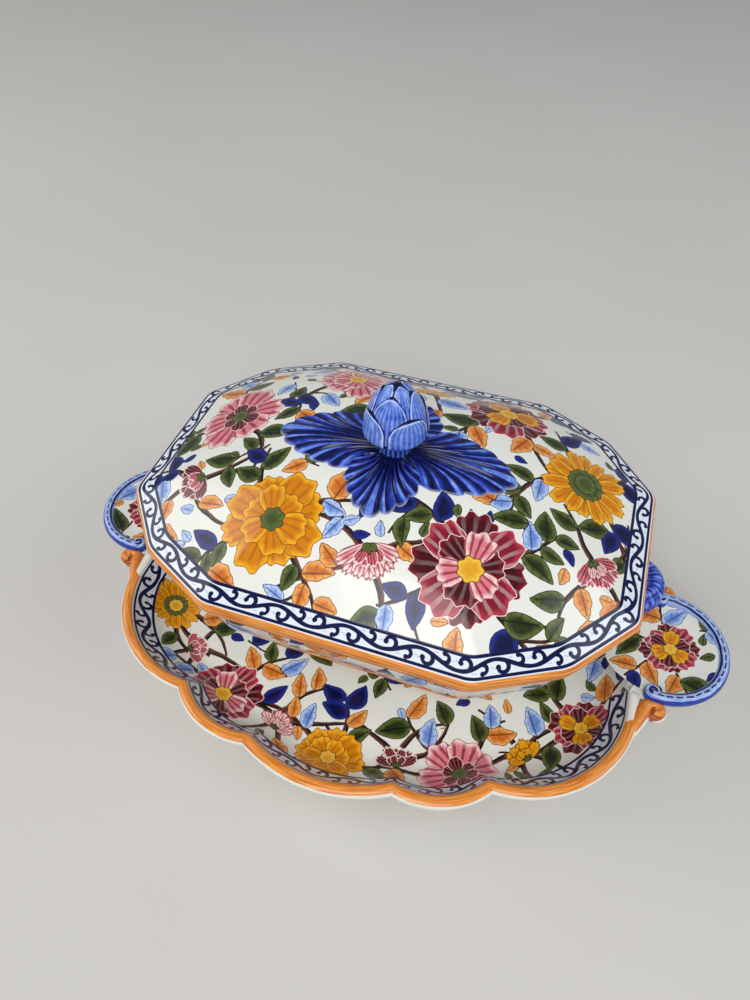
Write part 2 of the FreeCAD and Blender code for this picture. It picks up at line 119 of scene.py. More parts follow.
@dataclass(frozen=True)
class Pigment:
    """One painted finish.

    Args:
        inner: Colour in the middle of a painted shape.
        edge: Colour towards its edge.
        ink: Colour of its outline and veins.
        stripes: Strength of lengthwise strokes.
        veins: Strength of a midrib with side veins.
        line: Width of the outline.
    """

    inner: Colour
    edge: Colour
    ink: Colour
    stripes: float = 0.0
    veins: float = 0.0
    line: float = 0.5


class Paint(Enum):
    """Pigments in the order of their numbers."""

    CRIMSON = Pigment((68, 4, 18), (112, 11, 29), (236, 220, 212), 0.12, 0.0, 0.42)
    ROSE = Pigment((128, 18, 40), (176, 52, 70), (242, 226, 220), 0.25, 0.0, 0.42)
    PINK = Pigment((214, 120, 130), (244, 212, 206), (140, 30, 54), 0.85, 0.0, 0.45)
    OCHRE = Pigment((206, 122, 6), (238, 172, 30), (132, 66, 14), 0.35, 0.0, 0.5)
    SKY = Pigment((104, 138, 208), (180, 202, 238), (34, 38, 88), 0.0, 0.75, 0.45)
    NAVY = Pigment((8, 11, 60), (30, 43, 128), (5, 7, 38), 0.0, 0.4, 0.4)
    OLIVE = Pigment((36, 48, 16), (94, 106, 50), (18, 24, 10), 0.0, 0.85, 0.5)
    ORANGE = Pigment((202, 108, 34), (236, 164, 86), (84, 38, 14), 0.0, 0.75, 0.45)
    TWIG = Pigment((50, 28, 22), (66, 40, 32), (26, 16, 14), 0.0, 0.0, 0.3)
    BERRY = Pigment((170, 28, 44), (222, 116, 116), (88, 16, 28), 0.0, 0.0, 0.45)
    HEART = Pigment((222, 156, 34), (238, 190, 70), (92, 56, 20), 0.0, 0.0, 0.6)
    MOSS = Pigment((70, 84, 40), (98, 110, 56), (40, 46, 22), 0.4, 0.0, 0.5)

    @property
    def number(self) -> int:
        """Place of the pigment in the palette."""
        return list(Paint).index(self)


@dataclass(frozen=True)
class CoverSizes:
    """Plan and section of lid and bowl, as in the CAD part."""

    length: float = 315.0
    width: float = 228.0
    corner_run: Pair = (79.5, 64.5)
    mid_corner: Pair = (32.5, 24.5)
    seat_z: float = 122.0
    line_z: float = 130.0
    dome_z: float = 135.0
    dome_rise: float = 34.0
    dome_power: float = 2.35
    band: float = 12.0
    lip_swell: float = 2.6
    flange_inset: float = 15.0
    flange_wall: float = 5.0
    flange_depth: float = 10.0
    wall: float = 6.5
    overhang: float = 8.0
    belly_top: float = 114.0
    belly_base: float = 31.0
    belly_taper: float = 44.0
    belly_power: float = 2.2
    bowl_wall: float = 5.0
    bowl_floor: float = 8.0
    foot_base: float = 13.0


@dataclass(frozen=True)
class HandleSizes:
    """Level loop handles. The loop ends further out than the CAD one, as in the photo."""

    radius: float = 14.0
    thick: float = 13.0
    swell: float = 3.5
    tall: float = 20.0
    drop: float = 4.5
    reach: float = 27.0
    root: float = 4.1
    ribs: float = 3.5


@dataclass(frozen=True)
class StandSizes:
    """Plan and section of the stand, as in the CAD part but for the curve of the wall and the width of the band."""

    length: float = 470.0
    width: float = 328.0
    centre_chord: float = 97.0
    side_run: Pair = (56.5, 20.5)
    corner_run: Pair = (77.0, 71.0)
    sags: Tuple[float, ...] = (19.5, 8.5, 12.5, 8.5, 19.5, 0.0)
    height: float = 42.0
    floor_z: float = 13.0
    floor_thick: float = 7.0
    rim_width: float = 7.5
    rim_height: float = 8.0
    well_inset: float = 33.0
    well_lobes: float = 0.5
    wall_power: float = 2.05
    band: float = 16.5
    ear_radius: float = 43.5
    ear_rim: float = 8.0
    ear_rise: float = 5.0
    ear_floor: float = 36.0
    ear_tilt: float = 5.0
    ear_under: float = 15.0
    ear_thick: float = 8.0
    ear_edge_x: float = 174.0
    volute_radius: float = 7.5
    volute_out: Pair = (10.0, 13.0)
    rim_end: float = 4.0
    rim_drop: float = 2.0
    curl_radius: float = 5.0
    curl_inset: float = 2.0
    foot: Pair = (125.0, 85.0)

    @property
    def ear_x(self) -> float:
        """Middle of the right ear."""
        return self.length / 2 - self.ear_radius


def mirrored(quarter: Sequence[Pair]) -> Array:
    """All corners, anticlockwise, of a plan whose first quarter is given."""
    upper = list(quarter) + [(-x, y) for x, y in reversed(list(quarter))]
    return np.array(upper + [(-x, -y) for x, y in upper], float)


def inset_corners(corners: Array, inset: float) -> Array:
    """Corners of a polygon whose sides have all moved inwards by one distance.

    Args:
        corners: Corners, anticlockwise.
        inset: The distance.
    Returns:
        The new corners.
    """
    run = np.roll(corners, -1, 0) - corners
    normal = np.stack([run[:, 1], -run[:, 0]], 1) / np.linalg.norm(run, axis=1)[:, None]
    reach = (normal * corners).sum(1) - inset
    before, reach_before = np.roll(normal, 1, 0), np.roll(reach, 1)
    cross = before[:, 0] * normal[:, 1] - before[:, 1] * normal[:, 0]
    x = (reach_before * normal[:, 1] - reach * before[:, 1]) / cross
    y = (before[:, 0] * reach - normal[:, 0] * reach_before) / cross
    return np.stack([x, y], 1)


class CoverPlan:
    """Twelve-sided plan with rounded corners, as columns that run from the rim to the middle."""

    COLUMNS = 640
    CRISP = 5.0
    SOFT = 0.499

    def __init__(self, sizes: CoverSizes) -> None:
        """Lays out the corners and their shares.

        Args:
            sizes: Sizes of lid and bowl.
        """
        half_x, half_y = sizes.length / 2, sizes.width / 2
        self.corners = mirrored([
            (half_x, half_y - sizes.corner_run[1]),
            (half_x - sizes.mid_corner[0], half_y - sizes.mid_corner[1]),
            (half_x - sizes.corner_run[0], half_y),
        ])
        edges = np.linalg.norm(np.roll(self.corners, -1, 0) - self.corners, axis=1)
        self.perimeter = float(edges.sum())
        self.along = np.arange(self.COLUMNS) / self.COLUMNS * self.perimeter
        self.sharp = self.weights(edges, self.CRISP)
        self.soft = self.weights(edges, self.SOFT * float(edges.min()))
        self.oval = self.weights(edges, None)

    def weights(self, edges: Array, ease: Optional[float]) -> Array:
        """Shares of the corners in each column's point.

        Args:
            edges: Lengths of the sides.
            ease: Length over which a corner is rounded, or None for rounding over half of each side.
        Returns:
            A row of shares for each column.
        """
        count = len(edges)
        starts = np.concatenate([[0.0], np.cumsum(edges)[:-1]])
        halves = np.full(count, 0.5) if ease is None else ease / edges
        table = np.zeros((self.COLUMNS, count))
        for row, place in enumerate(self.along):
            edge = int(np.searchsorted(starts, place, side="right") - 1)
            share, half = (place - starts[edge]) / edges[edge], halves[edge]
            if half <= share <= 1 - half:
                table[row, [edge, (edge + 1) % count]] += 1 - share, share
                continue
            late = share >= half
            corner = (edge + 1) % count if late else edge
            t = 0.5 * (share - 1 + half) / half if late else 0.5 + 0.5 * share / half
            a, b = (1 - t) ** 2, t ** 2
            before, after = halves[corner - 1], halves[corner]
            table[row, corner - 1] += a * before
            table[row, corner] += a * (1 - before) + 2 * t * (1 - t) + b * (1 - after)
            table[row, (corner + 1) % count] += b * after
        return table

    def ring(self, inset: float) -> Array:
        """Plan points at an inset."""
        return self.sharp @ inset_corners(self.corners, inset)

    def dome_ring(self, inset: float, scale: float) -> Array:
        """Plan points of a dome: crisp facets at the rim that melt into an oval towards the top.

        Args:
            inset: Inset of the dome's edge.
            scale: Share of the edge's plan.
        Returns:
            Points at that share.
        """
        base = inset_corners(self.corners, inset)
        ease = float(smooth(0.0, 0.62, np.array(1.0 - scale)))
        crisp = (1 - ease) * self.sharp + ease * self.soft
        melt = float(smooth(0.2, 0.8, np.array(1.0 - scale)))
        return ((1 - melt) * crisp + melt * self.oval) @ base * scale


class StandPlan:
    """Scalloped plan of the stand."""

    STEPS = (96, 46, 74, 46, 96, 80)

    def __init__(self, sizes: StandSizes) -> None:
        """Lays out the cusps.

        Args:
            sizes: Sizes of the stand.
        """
        self.sizes = sizes
        cusp_x, cusp_y = sizes.centre_chord / 2, sizes.width / 2 - sizes.sags[2]
        outer = (cusp_x + sizes.side_run[0], cusp_y - sizes.side_run[1])
        end = (outer[0] + sizes.corner_run[0], outer[1] - sizes.corner_run[1])
        self.corners = mirrored([end, outer, (cusp_x, cusp_y)])

    def ring(self, inset: float, lobes: float = 1.0) -> Array:
        """Plan points of the scalloped outline.

        Args:
            inset: How far they stand in from the outline.
            lobes: Share of the lobes' full depth.
        Returns:
            Points all round.
        """
        corners = inset_corners(self.corners, inset)
        points = []
        for index, start in enumerate(corners):
            chord = corners[(index + 1) % len(corners)] - start
            sag = self.sizes.sags[index % 6] * lobes
            share = np.arange(self.STEPS[index % 6]) / self.STEPS[index % 6]
            outward = np.array([chord[1], -chord[0]]) / np.linalg.norm(chord)
            line = start + share[:, None] * chord
            if sag > 0:
                half = np.linalg.norm(chord) / 2
                radius = (half ** 2 + sag ** 2) / (2 * sag)
                across = (share - 0.5) * 2 * half
                bow = np.sqrt(radius ** 2 - across ** 2) - (radius - sag)
                line = line + bow[:, None] * outward
            points.append(line)
        return np.concatenate(points)


def signed_distance(points: Array, outline: Array) -> Array:
    """Distance of points to a closed outline, below zero inside it.

    Args:
        points: Flat places.
        outline: Corners of the outline.
    Returns:
        One distance for each point.
    """
    start, end = outline, np.roll(outline, -1, 0)
    run = end - start
    to = points[:, None, :] - start[None]
    share = np.clip((to * run).sum(2) / np.maximum((run * run).sum(1), 1e-9), 0, 1)
    gap = to - share[..., None] * run
    nearest = np.sqrt((gap * gap).sum(2).min(1))
    above = (start[None, :, 1] > points[:, None, 1]) != (end[None, :, 1] > points[:, None, 1])
    slope = run[:, 0] / np.where(np.abs(run[:, 1]) < 1e-9, 1e-9, run[:, 1])
    cross = start[None, :, 0] + (points[:, None, 1] - start[None, :, 1]) * slope[None]
    inside = (above & (points[:, None, 0] < cross)).sum(1) % 2 == 1
    return np.where(inside, -nearest, nearest)


@dataclass
class Canvas:
    """A painted surface laid out flat, with its layers of paint.

    Args:
        chart: Flat places of the vertices.
    """

    chart: Array
    fields: Array = field(init=False)
    kinds: Array = field(init=False)
    MARGIN = 5.6
    REACH = 5.2
    TWIG_ROOM = 3.0
    TWIGS = (Layer.TWIG, Layer.TWIG_OVER)

    def __post_init__(self) -> None:
        """Starts with bare layers."""
        self.chart = self.chart.reshape(-1, 2)
        count = len(self.chart)
        self.fields = np.zeros((len(Layer), count, 3), np.float32)
        self.fields[:, :, 0] = self.MARGIN
        self.fields[list(self.TWIGS)] = self.MARGIN
        self.kinds = np.zeros((len(Layer), count), np.float32)

    def lay(self, layer: Layer, outline: Array, place: Place, angle: float, paint: Paint) -> None:
        """Paints one shape.

        Args:
            layer: Layer of paint.
            outline: Closed outline along +X from its own origin.
            place: Where that origin lies on the surface.
            angle: Turn of the outline in radians.
            paint: Its pigment.
        """
        reach = float(np.abs(outline).max()) * 1.3 + self.MARGIN
        offset = self.chart - np.asarray(place, float)
        near = np.nonzero((np.abs(offset[:, 0]) < reach) & (np.abs(offset[:, 1]) < reach))[0]
        if not len(near):
            return
        c, s = toward(angle)
        local = offset[near] @ np.array([[c, -s], [s, c]])
        distance = signed_distance(local, outline)
        better = distance < self.fields[layer, near, 0]
        hit = near[better]
        length, half = float(outline[:, 0].max()), float(np.abs(outline[:, 1]).max())
        self.fields[layer, hit, 0] = distance[better]
        self.fields[layer, hit, 1] = local[better, 0] / length
        self.fields[layer, hit, 2] = local[better, 1] / half
        self.kinds[layer, hit] = (paint.number + 0.5) / PALETTE_SPAN

    def draw(self, path: Array, start: float, end: float) -> None:
        """Draws a tapering twig. Its field holds the sideways distance, the overrun past its ends and the distance.

        Args:
            path: Places along its middle.
            start, end: Its width at both ends.
        """
        low, high = path.min(0) - self.MARGIN, path.max(0) + self.MARGIN
        near = np.nonzero(((self.chart > low) & (self.chart < high)).all(1))[0]
        if not len(near):
            return
        run = np.diff(path, axis=0)
        size = np.linalg.norm(run, axis=1)
        to = self.chart[near][:, None, :] - path[None, :-1]
        along = (to * run).sum(2) / size
        held = np.clip(along, 0, size)
        gap = np.linalg.norm(to - (held / size)[..., None] * run, axis=2)
        pick = gap.argmin(1)
        rows = np.arange(len(near))
        side = (run[pick, 0] * to[rows, pick, 1] - run[pick, 1] * to[rows, pick, 0]) / size[pick]
        done = np.concatenate([[0.0], np.cumsum(size)])
        place = done[pick] + along[rows, pick]
        over = np.maximum(-place, place - done[-1])
        reach = gap[rows, pick]
        close = reach < self.REACH
        layer = min(self.TWIGS, key=lambda item: int((self.fields[item, near[close], 2] < self.REACH).sum()))
        better = close & (reach < self.fields[layer, near, 2])
        hit = near[better]
        share = np.clip(place[better] / done[-1], 0, 1)
        self.fields[layer, hit, 0] = side[better]
        self.fields[layer, hit, 1] = np.where(reach[better] < self.TWIG_ROOM, over[better], self.MARGIN)
        self.fields[layer, hit, 2] = reach[better]
        self.kinds[layer, hit] = (start + (end - start) * share) / 2


def leaf_outline(length: float, width: float, bend: float, waves: int = 0) -> Array:
    """Outline of a pointed leaf along +X.

    Args:
        length, width: Its size.
        bend: How far it is bent sideways.
        waves: Number of waves on its edge.
    Returns:
        Its corners.
    """
    t = np.linspace(0.0, 1.0, 19)
    half = width / 2 * np.sin(math.pi * t ** 0.72) ** 0.85
    if waves:
        half = half * (1 + 0.16 * np.abs(np.sin(math.pi * waves * t)) - 0.08)
    spine = bend * length * (t ** 2 - t)
    upper = np.stack([t * length, spine + half], 1)
    lower = np.stack([t * length, spine - half], 1)[::-1]
    return np.concatenate([upper, lower[1:-1]])


def petal_outline(length: float, width: float, ruffle: float = 0.05, waves: int = 9) -> Array:
    """Outline of a broad petal along +X, narrow at its root.

    Args:
        length, width: Its size.
        ruffle, waves: Depth and number of the waves on its edge.
    Returns:
        Its corners.
    """
    phi = circle(34)
    x = length * (1 - np.cos(phi)) / 2
    y = width / 2 * 1.18 * np.sin(phi) * np.maximum(x / length, 0) ** 0.5
    swell = 1 + ruffle * np.cos(waves * phi) * (x / length)
    return np.stack([x * swell, y * swell], 1)


def round_outline(radius: float, ruffle: float = 0.0, waves: int = 8) -> Array:
    """Outline of a round spot about the origin, with waves on its edge.

    Args:
        radius: Its size.
        ruffle, waves: Depth and number of the waves.
    Returns:
        Its corners.
    """
    phi = circle(28)
    out = radius * (1 + ruffle * np.cos(waves * phi))
    return np.stack([out * np.cos(phi), out * np.sin(phi)], 1)


class Florist:
    """Paints a free pattern of blooms, twigs and leaves on a canvas, the same on each run."""

    FOLIAGE = ((Paint.OLIVE, 0.36), (Paint.SKY, 0.24), (Paint.ORANGE, 0.19), (Paint.NAVY, 0.21))
    PETALS = (Layer.PETAL, Layer.PETAL_OVER)
    INNERS = (Layer.INNER, Layer.INNER_OVER)
    STEP = 2.0
    STOUT = 2.5
    TIP_WIDTH = 1.6

    def __init__(self, canvas: Canvas, seed: int, free: Callable[[float, float], bool]) -> None:
        """Starts on a bare canvas.

        Args:
            canvas: The surface.
            seed: Number that fixes the pattern.
            free: Says whether leaves may grow at a place.
        """
        self.lay, self.draw = canvas.lay, canvas.draw
        self.random = np.random.default_rng(seed)
        self.free = free
        self.taken: List[Tuple[float, float, float]] = []

    def take(self, place: Place, radius: float) -> None:
        """Keeps a round place from other shapes."""
        self.taken.append((place[0], place[1], radius))

    def clear(self, place: Place, radius: float, ease: float) -> bool:
        """Whether a round place is free, if all radii count by a share."""
        x, y = place
        return self.free(x, y) and all(math.hypot(x - a, y - b) > (radius + r) * ease for a, b, r in self.taken)

    def ring(self, place: Place, count: int, length: float, width: float, turn: float,
             layers: Tuple[Layer, Layer], paints: Tuple[Paint, Paint], ruffle: float) -> None:
        """A ring of petals, by turns in two layers and two pigments.

        Args:
            place: Middle of the ring.
            count, length, width: Number and size of the petals.
            turn: Heading of the first petal.
            layers, paints: What the petals have by turns.
            ruffle: Depth of the waves on their edges.
        """
        for index in range(count):
            angle = turn + TAU / count * index + self.random.uniform(-0.09, 0.09)
            reach = length * self.random.uniform(0.86, 1.1)
            span = width * self.random.uniform(0.88, 1.12)
            outline = petal_outline(reach, span, ruffle, int(self.random.integers(7, 12)))
            self.lay(layers[index % 2], outline, place, angle, paints[index % 2])

    def rosette(self, place: Place, radius: float, outer: Paint, inner: Paint, heart: Paint, turn: float) -> None:
        """Full bloom seen from above: two rings of ruffled petals round a heart.

        Args:
            place, radius, turn: Where it lies, its size and its heading.
            outer, inner, heart: Its pigments.
        """
        self.take(place, radius * 0.93)
        second = Paint.ROSE if outer is Paint.CRIMSON else outer
        self.ring(place, 8, radius, radius * 0.86, turn, self.PETALS, (outer, second), 0.06)
        self.ring(place, 6, radius * 0.68, radius * 0.66, turn + 0.3, self.INNERS, (outer, inner), 0.06)
        self.lay(Layer.HEART, round_outline(radius * 0.24, 0.12, 7), place, turn, heart)

    def poppy(self, place: Place, radius: float, outer: Paint, inner: Paint, turn: float) -> None:
        """Open bloom of six broad petals round a green heart.

        Args:
            place, radius, turn: Where it lies, its size and its heading.
            outer, inner: Its pigments.
        """
        self.take(place, radius * 0.93)
        self.ring(place, 6, radius, radius * 0.98, turn, self.PETALS, (outer, outer), 0.06)
        self.ring(place, 6, radius * 0.5, radius * 0.4, turn + 0.5, self.INNERS, (inner, inner), 0.05)
        self.lay(Layer.HEART, round_outline(radius * 0.2, 0.1, 8), place, turn, Paint.MOSS)

    def daisy(self, place: Place, radius: float, outer: Paint, heart: Paint, turn: float) -> None:
        """Flat bloom of many narrow petals.

        Args:
            place, radius, turn: Where it lies, its size and its heading.
            outer, heart: Its pigments.
        """
        self.take(place, radius * 0.95)
        self.ring(place, 16, radius, radius * 0.4, turn, self.PETALS, (outer, outer), 0.04)
        self.lay(Layer.INNER, round_outline(radius * 0.42, 0.08, 12), place, turn, Paint.MOSS)
        self.lay(Layer.HEART, round_outline(radius * 0.26, 0.1, 9), place, turn, heart)

    def carnation(self, place: Place, size: float, outer: Paint, inner: Paint, turn: float) -> None:
        """Fringed bloom seen from the side, which opens along its turn from a green cup.

        Args:
            place, size, turn: Its root, its length and its heading.
            outer, inner: Its pigments.
        """
        self.take(np.asarray(place) + 0.5 * size * toward(turn), size * 0.62)
        for index in range(7):
            outline = petal_outline(size * self.random.uniform(0.92, 1.08), size * 0.5, 0.1, 13)
            self.lay(self.PETALS[(index + 1) % 2], outline, place, turn + (-1.05 + 0.35 * index), outer)
        for index in range(4):
            outline = petal_outline(size * 0.66, size * 0.36, 0.09, 11)
            self.lay(self.INNERS[(index + 1) % 2], outline, place, turn - 0.6 + 0.4 * index, inner)
        for spread in (-0.75, 0.0, 0.75):
            self.lay(Layer.HEART, leaf_outline(size * 0.36, size * 0.2, 0), place, turn + spread, Paint.OLIVE)

    def bell(self, place: Place, size: float, paint: Paint, turn: float) -> None:
        """Small bell bloom with three lobes.

        Args:
            place, size, turn: Its root, its length and its heading.
            paint: Its pigment.
        """
        self.take(np.asarray(place) + 0.5 * size * toward(turn), size * 0.5)
        for spread, layer in ((-0.45, Layer.PETAL), (0.45, Layer.PETAL), (0.0, Layer.PETAL_OVER)):
            self.lay(layer, petal_outline(size, size * 0.5, 0.04, 5), place, turn + spread, paint)
        self.lay(Layer.HEART, round_outline(size * 0.13), place, turn, Paint.OLIVE)

    def berry(self, place: Place, size: float, turn: float) -> None:
        """Red bud in a small green cup.

        Args:
            place, size, turn: Its root, its length and its heading.
        """
        self.take(place, size * 0.6)
        self.lay(Layer.PETAL, petal_outline(size, size * 0.85, 0.05, 4), place, turn, Paint.BERRY)
        self.lay(Layer.PETAL_OVER, leaf_outline(size * 0.5, size * 0.3, 0), place, turn + 0.5, Paint.OLIVE)

    def foliage(self) -> Paint:
        """Next leaf colour."""
        shares = np.array([share for _, share in self.FOLIAGE])
        return self.FOLIAGE[int(self.random.choice(len(shares), p=shares / shares.sum()))][0]

    def leaf(self, place: Array, angle: float, length: float) -> bool:
        """Paints a leaf where there is room for it.

        Args:
            place, angle, length: Its root, its heading and its size.
        Returns:
            Whether it was painted.
        """
        middle = place + 0.55 * length * toward(angle)
        if not self.clear(middle, length * 0.33, 0.93):
            return False
        self.take(middle, length * 0.33)
        paint = self.foliage()
        waves = 3 if paint in (Paint.ORANGE, Paint.SKY) else 0
        width = length * self.random.uniform(0.52, 0.66)
        outline = leaf_outline(length, width, self.random.uniform(-0.35, 0.35), waves)
        layer = Layer.LEAF if len(self.taken) % 2 else Layer.LEAF_OVER
        self.lay(layer, outline, place, angle, paint)
        return True

    def wander(self, place: Array, angle: float, length: float) -> Tuple[Array, float]:
        """A slightly curved path that ends where the free ground ends.

        Args:
            place, angle, length: Its root, its first heading and its length.
        Returns:
            Places along it, and its last heading.
        """
        curl = self.random.uniform(-0.035, 0.035)
        path = [np.asarray(place, float)]
        for _ in range(max(4, int(length / self.STEP))):
            angle += curl * self.STEP + self.random.normal(0, 0.06)
            path.append(path[-1] + self.STEP * toward(angle))
            if not self.free(*path[-1]):
                break
        return np.array(path), angle

    def twig(self, place: Array, angle: float, length: float, thick: float) -> None:
        """Twig with leaves on both sides and a bud or bell at its end.

        A stout one forks half-way, and a thin one without leaves is left out.

        Args:
            place, angle, length: Its root, its first heading and its length.
            thick: Its width at the root.
        """
        line, heading = self.wander(place, angle, length)
        if len(line) < 4:
            return
        stout = thick > self.STOUT
        grown = 0
        side = 1 if self.random.random() < 0.5 else -1
        for index in range(4 if stout else 2, len(line) - 1, 3 if stout else 2):
            run = line[index] - line[index - 1]
            size = self.random.uniform(16.0, 25.0)
            lean = self.random.uniform(0.7, 1.2)
            along = math.atan2(run[1], run[0])
            grown += any(self.leaf(line[index], along + turn * lean, size) for turn in (side, -side))
            side = -side
        if not stout and not grown:
            return
        self.draw(line, thick, self.TIP_WIDTH)
        for spot in line[::2]:
            self.take(spot, 1.2)
        if stout and len(line) > 9:
            self.twig(line[len(line) // 2], heading + 0.8 * side, length * 0.55, 2.3)
        tip = line[-1]
        if self.clear(tip, 5.0, 0.9):
            if self.random.random() < 0.5:
                self.berry(tip, self.random.uniform(8.0, 11.0), heading)
            else:
                kind = Paint.SKY if self.random.random() < 0.6 else Paint.ORANGE
                self.bell(tip, self.random.uniform(12.0, 16.0), kind, heading)

    def branch(self, count: int, turn: float, lengths: Pair, thick: float) -> None:
        """Grows twigs from the edge of each bloom painted so far.

        Args:
            count: Twigs for each bloom.
            turn: Heading of the first one.
            lengths: Shortest and longest twig.
            thick: Their width at the root.
        """
        for x, y, radius in list(self.taken):
            for index in range(count):
                angle = self.random.uniform(-0.3, 0.3) + TAU / count * index + turn
                start = np.array([x, y]) + radius * 0.8 * toward(angle)
                self.twig(start, angle, self.random.uniform(*lengths), thick)

    def fill(self, low: Place, high: Place, sprigs: int, leaves: int) -> None:
        """Grows small sprigs in the places that are left, and then single small leaves in the last gaps.

        Args:
            low, high: Corners of the ground.
            sprigs, leaves: How many places are tried for each.
        """
        for _ in range(sprigs):
            spot = self.random.uniform(low, high)
            if self.clear(spot, 6.5, 0.95):
                self.twig(spot, self.random.uniform(0, TAU), self.random.uniform(12.0, 22.0), 1.4)
        for _ in range(leaves):
            spot = self.random.uniform(low, high)
            self.leaf(spot, self.random.uniform(0, TAU), self.random.uniform(9.0, 12.0))


@dataclass
class Rings:
    """Level rings that make up a skin, each with its depth on the painted border."""

    rows: List[Array] = field(default_factory=list)
    depths: List[float] = field(default_factory=list)

    def add(self, ring: Array, height: float, depth: float) -> None:
        """Adds a ring of plan points at a height."""
        self.rows.append(np.column_stack([ring, np.full(len(ring), height)]))
        self.depths.append(depth)

    def points(self) -> Array:
        """Rows by columns of places."""
        return np.array(self.rows)

    def border(self, periods: int) -> Array:
        """Border map: periods of the scroll round the skin, and depth across it.

        Args:
            periods: Number of periods.
        Returns:
            A place for each point, with the first column once more at the end.
        """
        columns = len(self.rows[0])
        along = np.arange(columns + 1) / columns * periods
        return np.stack(np.broadcast_arrays(along[None], np.array(self.depths)[:, None]), -1)


@dataclass
class Surface:
    """Rows of points joined into one skin, with its paint.

    Args:
        points: Rows by columns of places.
        closed: Whether the last column joins the first.
        canvas: Painted flowers.
        values: Named values for the points, or for rows or columns of them.
        border: Flat map of the painted border.
        caps: Whether the first and the last row are closed by a face.
        flip: Whether the faces look the other way.
    """

    points: Array
    closed: bool = True
    canvas: Optional[Canvas] = None
    values: Dict[str, Array] = field(default_factory=dict)
    border: Optional[Array] = None
    caps: Tuple[bool, bool] = (False, False)
    flip: bool = False
    BAKE_EDGE = 0.01

    def build(self, name: str, material: Material, body: Body, slot: Slot, *nodes: str) -> None:
        """Makes the piece, fixes it to its body and hides the CAD nodes it stands for.

        Args:
            name, material: Of the new object.
            body: What it rides on. slot: Its material slot, which is not used.
            nodes: The CAD nodes.
        """
        rows, columns = self.points.shape[:2]
        spans = columns if self.closed else columns - 1
        row, column = np.meshgrid(np.arange(rows - 1), np.arange(spans), indexing="ij")
        row = np.stack([row, row, row + 1, row + 1], -1).reshape(-1, 4)
        column = np.stack([column, column + 1, column + 1, column], -1).reshape(-1, 4)
        if self.flip:
            row, column = row[:, ::-1], column[:, ::-1]
        faces = (row * columns + column % columns).tolist()
        row, column = row.reshape(-1), column.reshape(-1)
        around = np.arange(columns)[::1 if self.flip else -1]
        for wanted, level, ring in zip(self.caps, (0, rows - 1), (around, around[::-1])):
            if wanted:
                faces.append((level * columns + ring).tolist())
                row, column = np.append(row, np.full(columns, level)), np.append(column, ring)
        mesh = bpy.data.meshes.new(name)
        mesh.from_pydata((self.points.reshape(-1, 3) * MM).tolist(), [], faces)
        mesh.polygons.foreach_set("use_smooth", np.ones(len(faces), bool))
        shares = np.stack([column / max(spans, 1), row / (rows - 1)], 1)
        self.add_map(mesh, "OFBake", self.BAKE_EDGE + (1 - 2 * self.BAKE_EDGE) * shares)
        if self.border is not None:
            self.add_map(mesh, "Border", self.border[row, column])
        for key, value in self.values.items():
            self.add_values(mesh, key, np.broadcast_to(value, (rows, columns)))
        if self.canvas is not None:
            for paint in Layer:
                layer = mesh.attributes.new("field%d" % paint, "FLOAT_VECTOR", "POINT")
                layer.data.foreach_set("vector", self.canvas.fields[paint].reshape(-1))
                self.add_values(mesh, "kind%d" % paint, self.canvas.kinds[paint])
        mesh.materials.append(material)
        mesh.update()
        obj = bpy.data.objects.new(name, mesh)
        bpy.context.scene.collection.objects.link(obj)
        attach(obj, body.value)
        if nodes:
            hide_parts(*nodes)
        LOG.info("%s: %d faces", name, len(faces))

    @staticmethod
    def add_map(mesh: bpy.types.Mesh, name: str, places: Array) -> None:
        """Adds a flat map with one place for each face corner."""
        layer = mesh.uv_layers.new(name=name)
        layer.data.foreach_set("uv", np.ascontiguousarray(places, np.float32).reshape(-1))

    @staticmethod
    def add_values(mesh: bpy.types.Mesh, name: str, values: Array) -> None:
        """Adds a value for each vertex."""
        layer = mesh.attributes.new(name, "FLOAT", "POINT")
        layer.data.foreach_set("value", np.ascontiguousarray(values, np.float32).reshape(-1))


def brushed(relief: Array, stroke: Union[Array, float] = 0.0,
            pale: Union[Array, float] = 0.0) -> Dict[str, Array]:
    """Values that the cobalt and orange glazes read from a mesh.

    Args:
        relief: Tone, from 0 in grooves to 1 on ridges, with any painted light and shade added in.
        stroke: Phase of the brush strokes.
        pale: Share of white.
    Returns:
        The values by name.
    """
    return {"relief": relief, "stroke": np.asarray(stroke), "pale": np.asarray(pale)}


def turned(radius: Array, height: Array, turn: Array, middle: Place = (0.0, 0.0)) -> Array:
    """Points about an upright axis.

    Args:
        radius, height, turn: Their distance, height and heading, which are spread to one shape.
        middle: Place of the axis.
    Returns:
        Rows by columns of places.
    """
    x, y = middle[0] + radius * np.cos(turn), middle[1] + radius * np.sin(turn)
    return np.stack(np.broadcast_arrays(x, y, height), -1)


def columns_of(table: Sequence[Sequence[float]]) -> List[Array]:
    """Columns of a table of numbers, each one upright."""
    return [column[:, None] for column in np.array(table).T]


def meridian_chart(points: Array, count: int) -> Array:
    """Flattens rows that run out from a middle: each point keeps its heading and its length along the surface.

    Args:
        points: Rows by columns of places.
        count: Number of painted rows. The others lie far off the chart.
    Returns:
        A flat place for each point.
    """
    rows = points[:count]
    steps = np.linalg.norm(np.diff(rows, axis=0), axis=2)
    first = np.linalg.norm(rows[0, :, :2], axis=1)
    length = np.concatenate([first[None], first[None] + np.cumsum(steps, 0)])
    chart = np.full(points.shape[:2] + (2,), FAR)
    reach = np.maximum(np.linalg.norm(rows[..., :2], axis=2, keepdims=True), 1e-6)
    chart[:count] = rows[..., :2] / reach * length[..., None]
    return chart


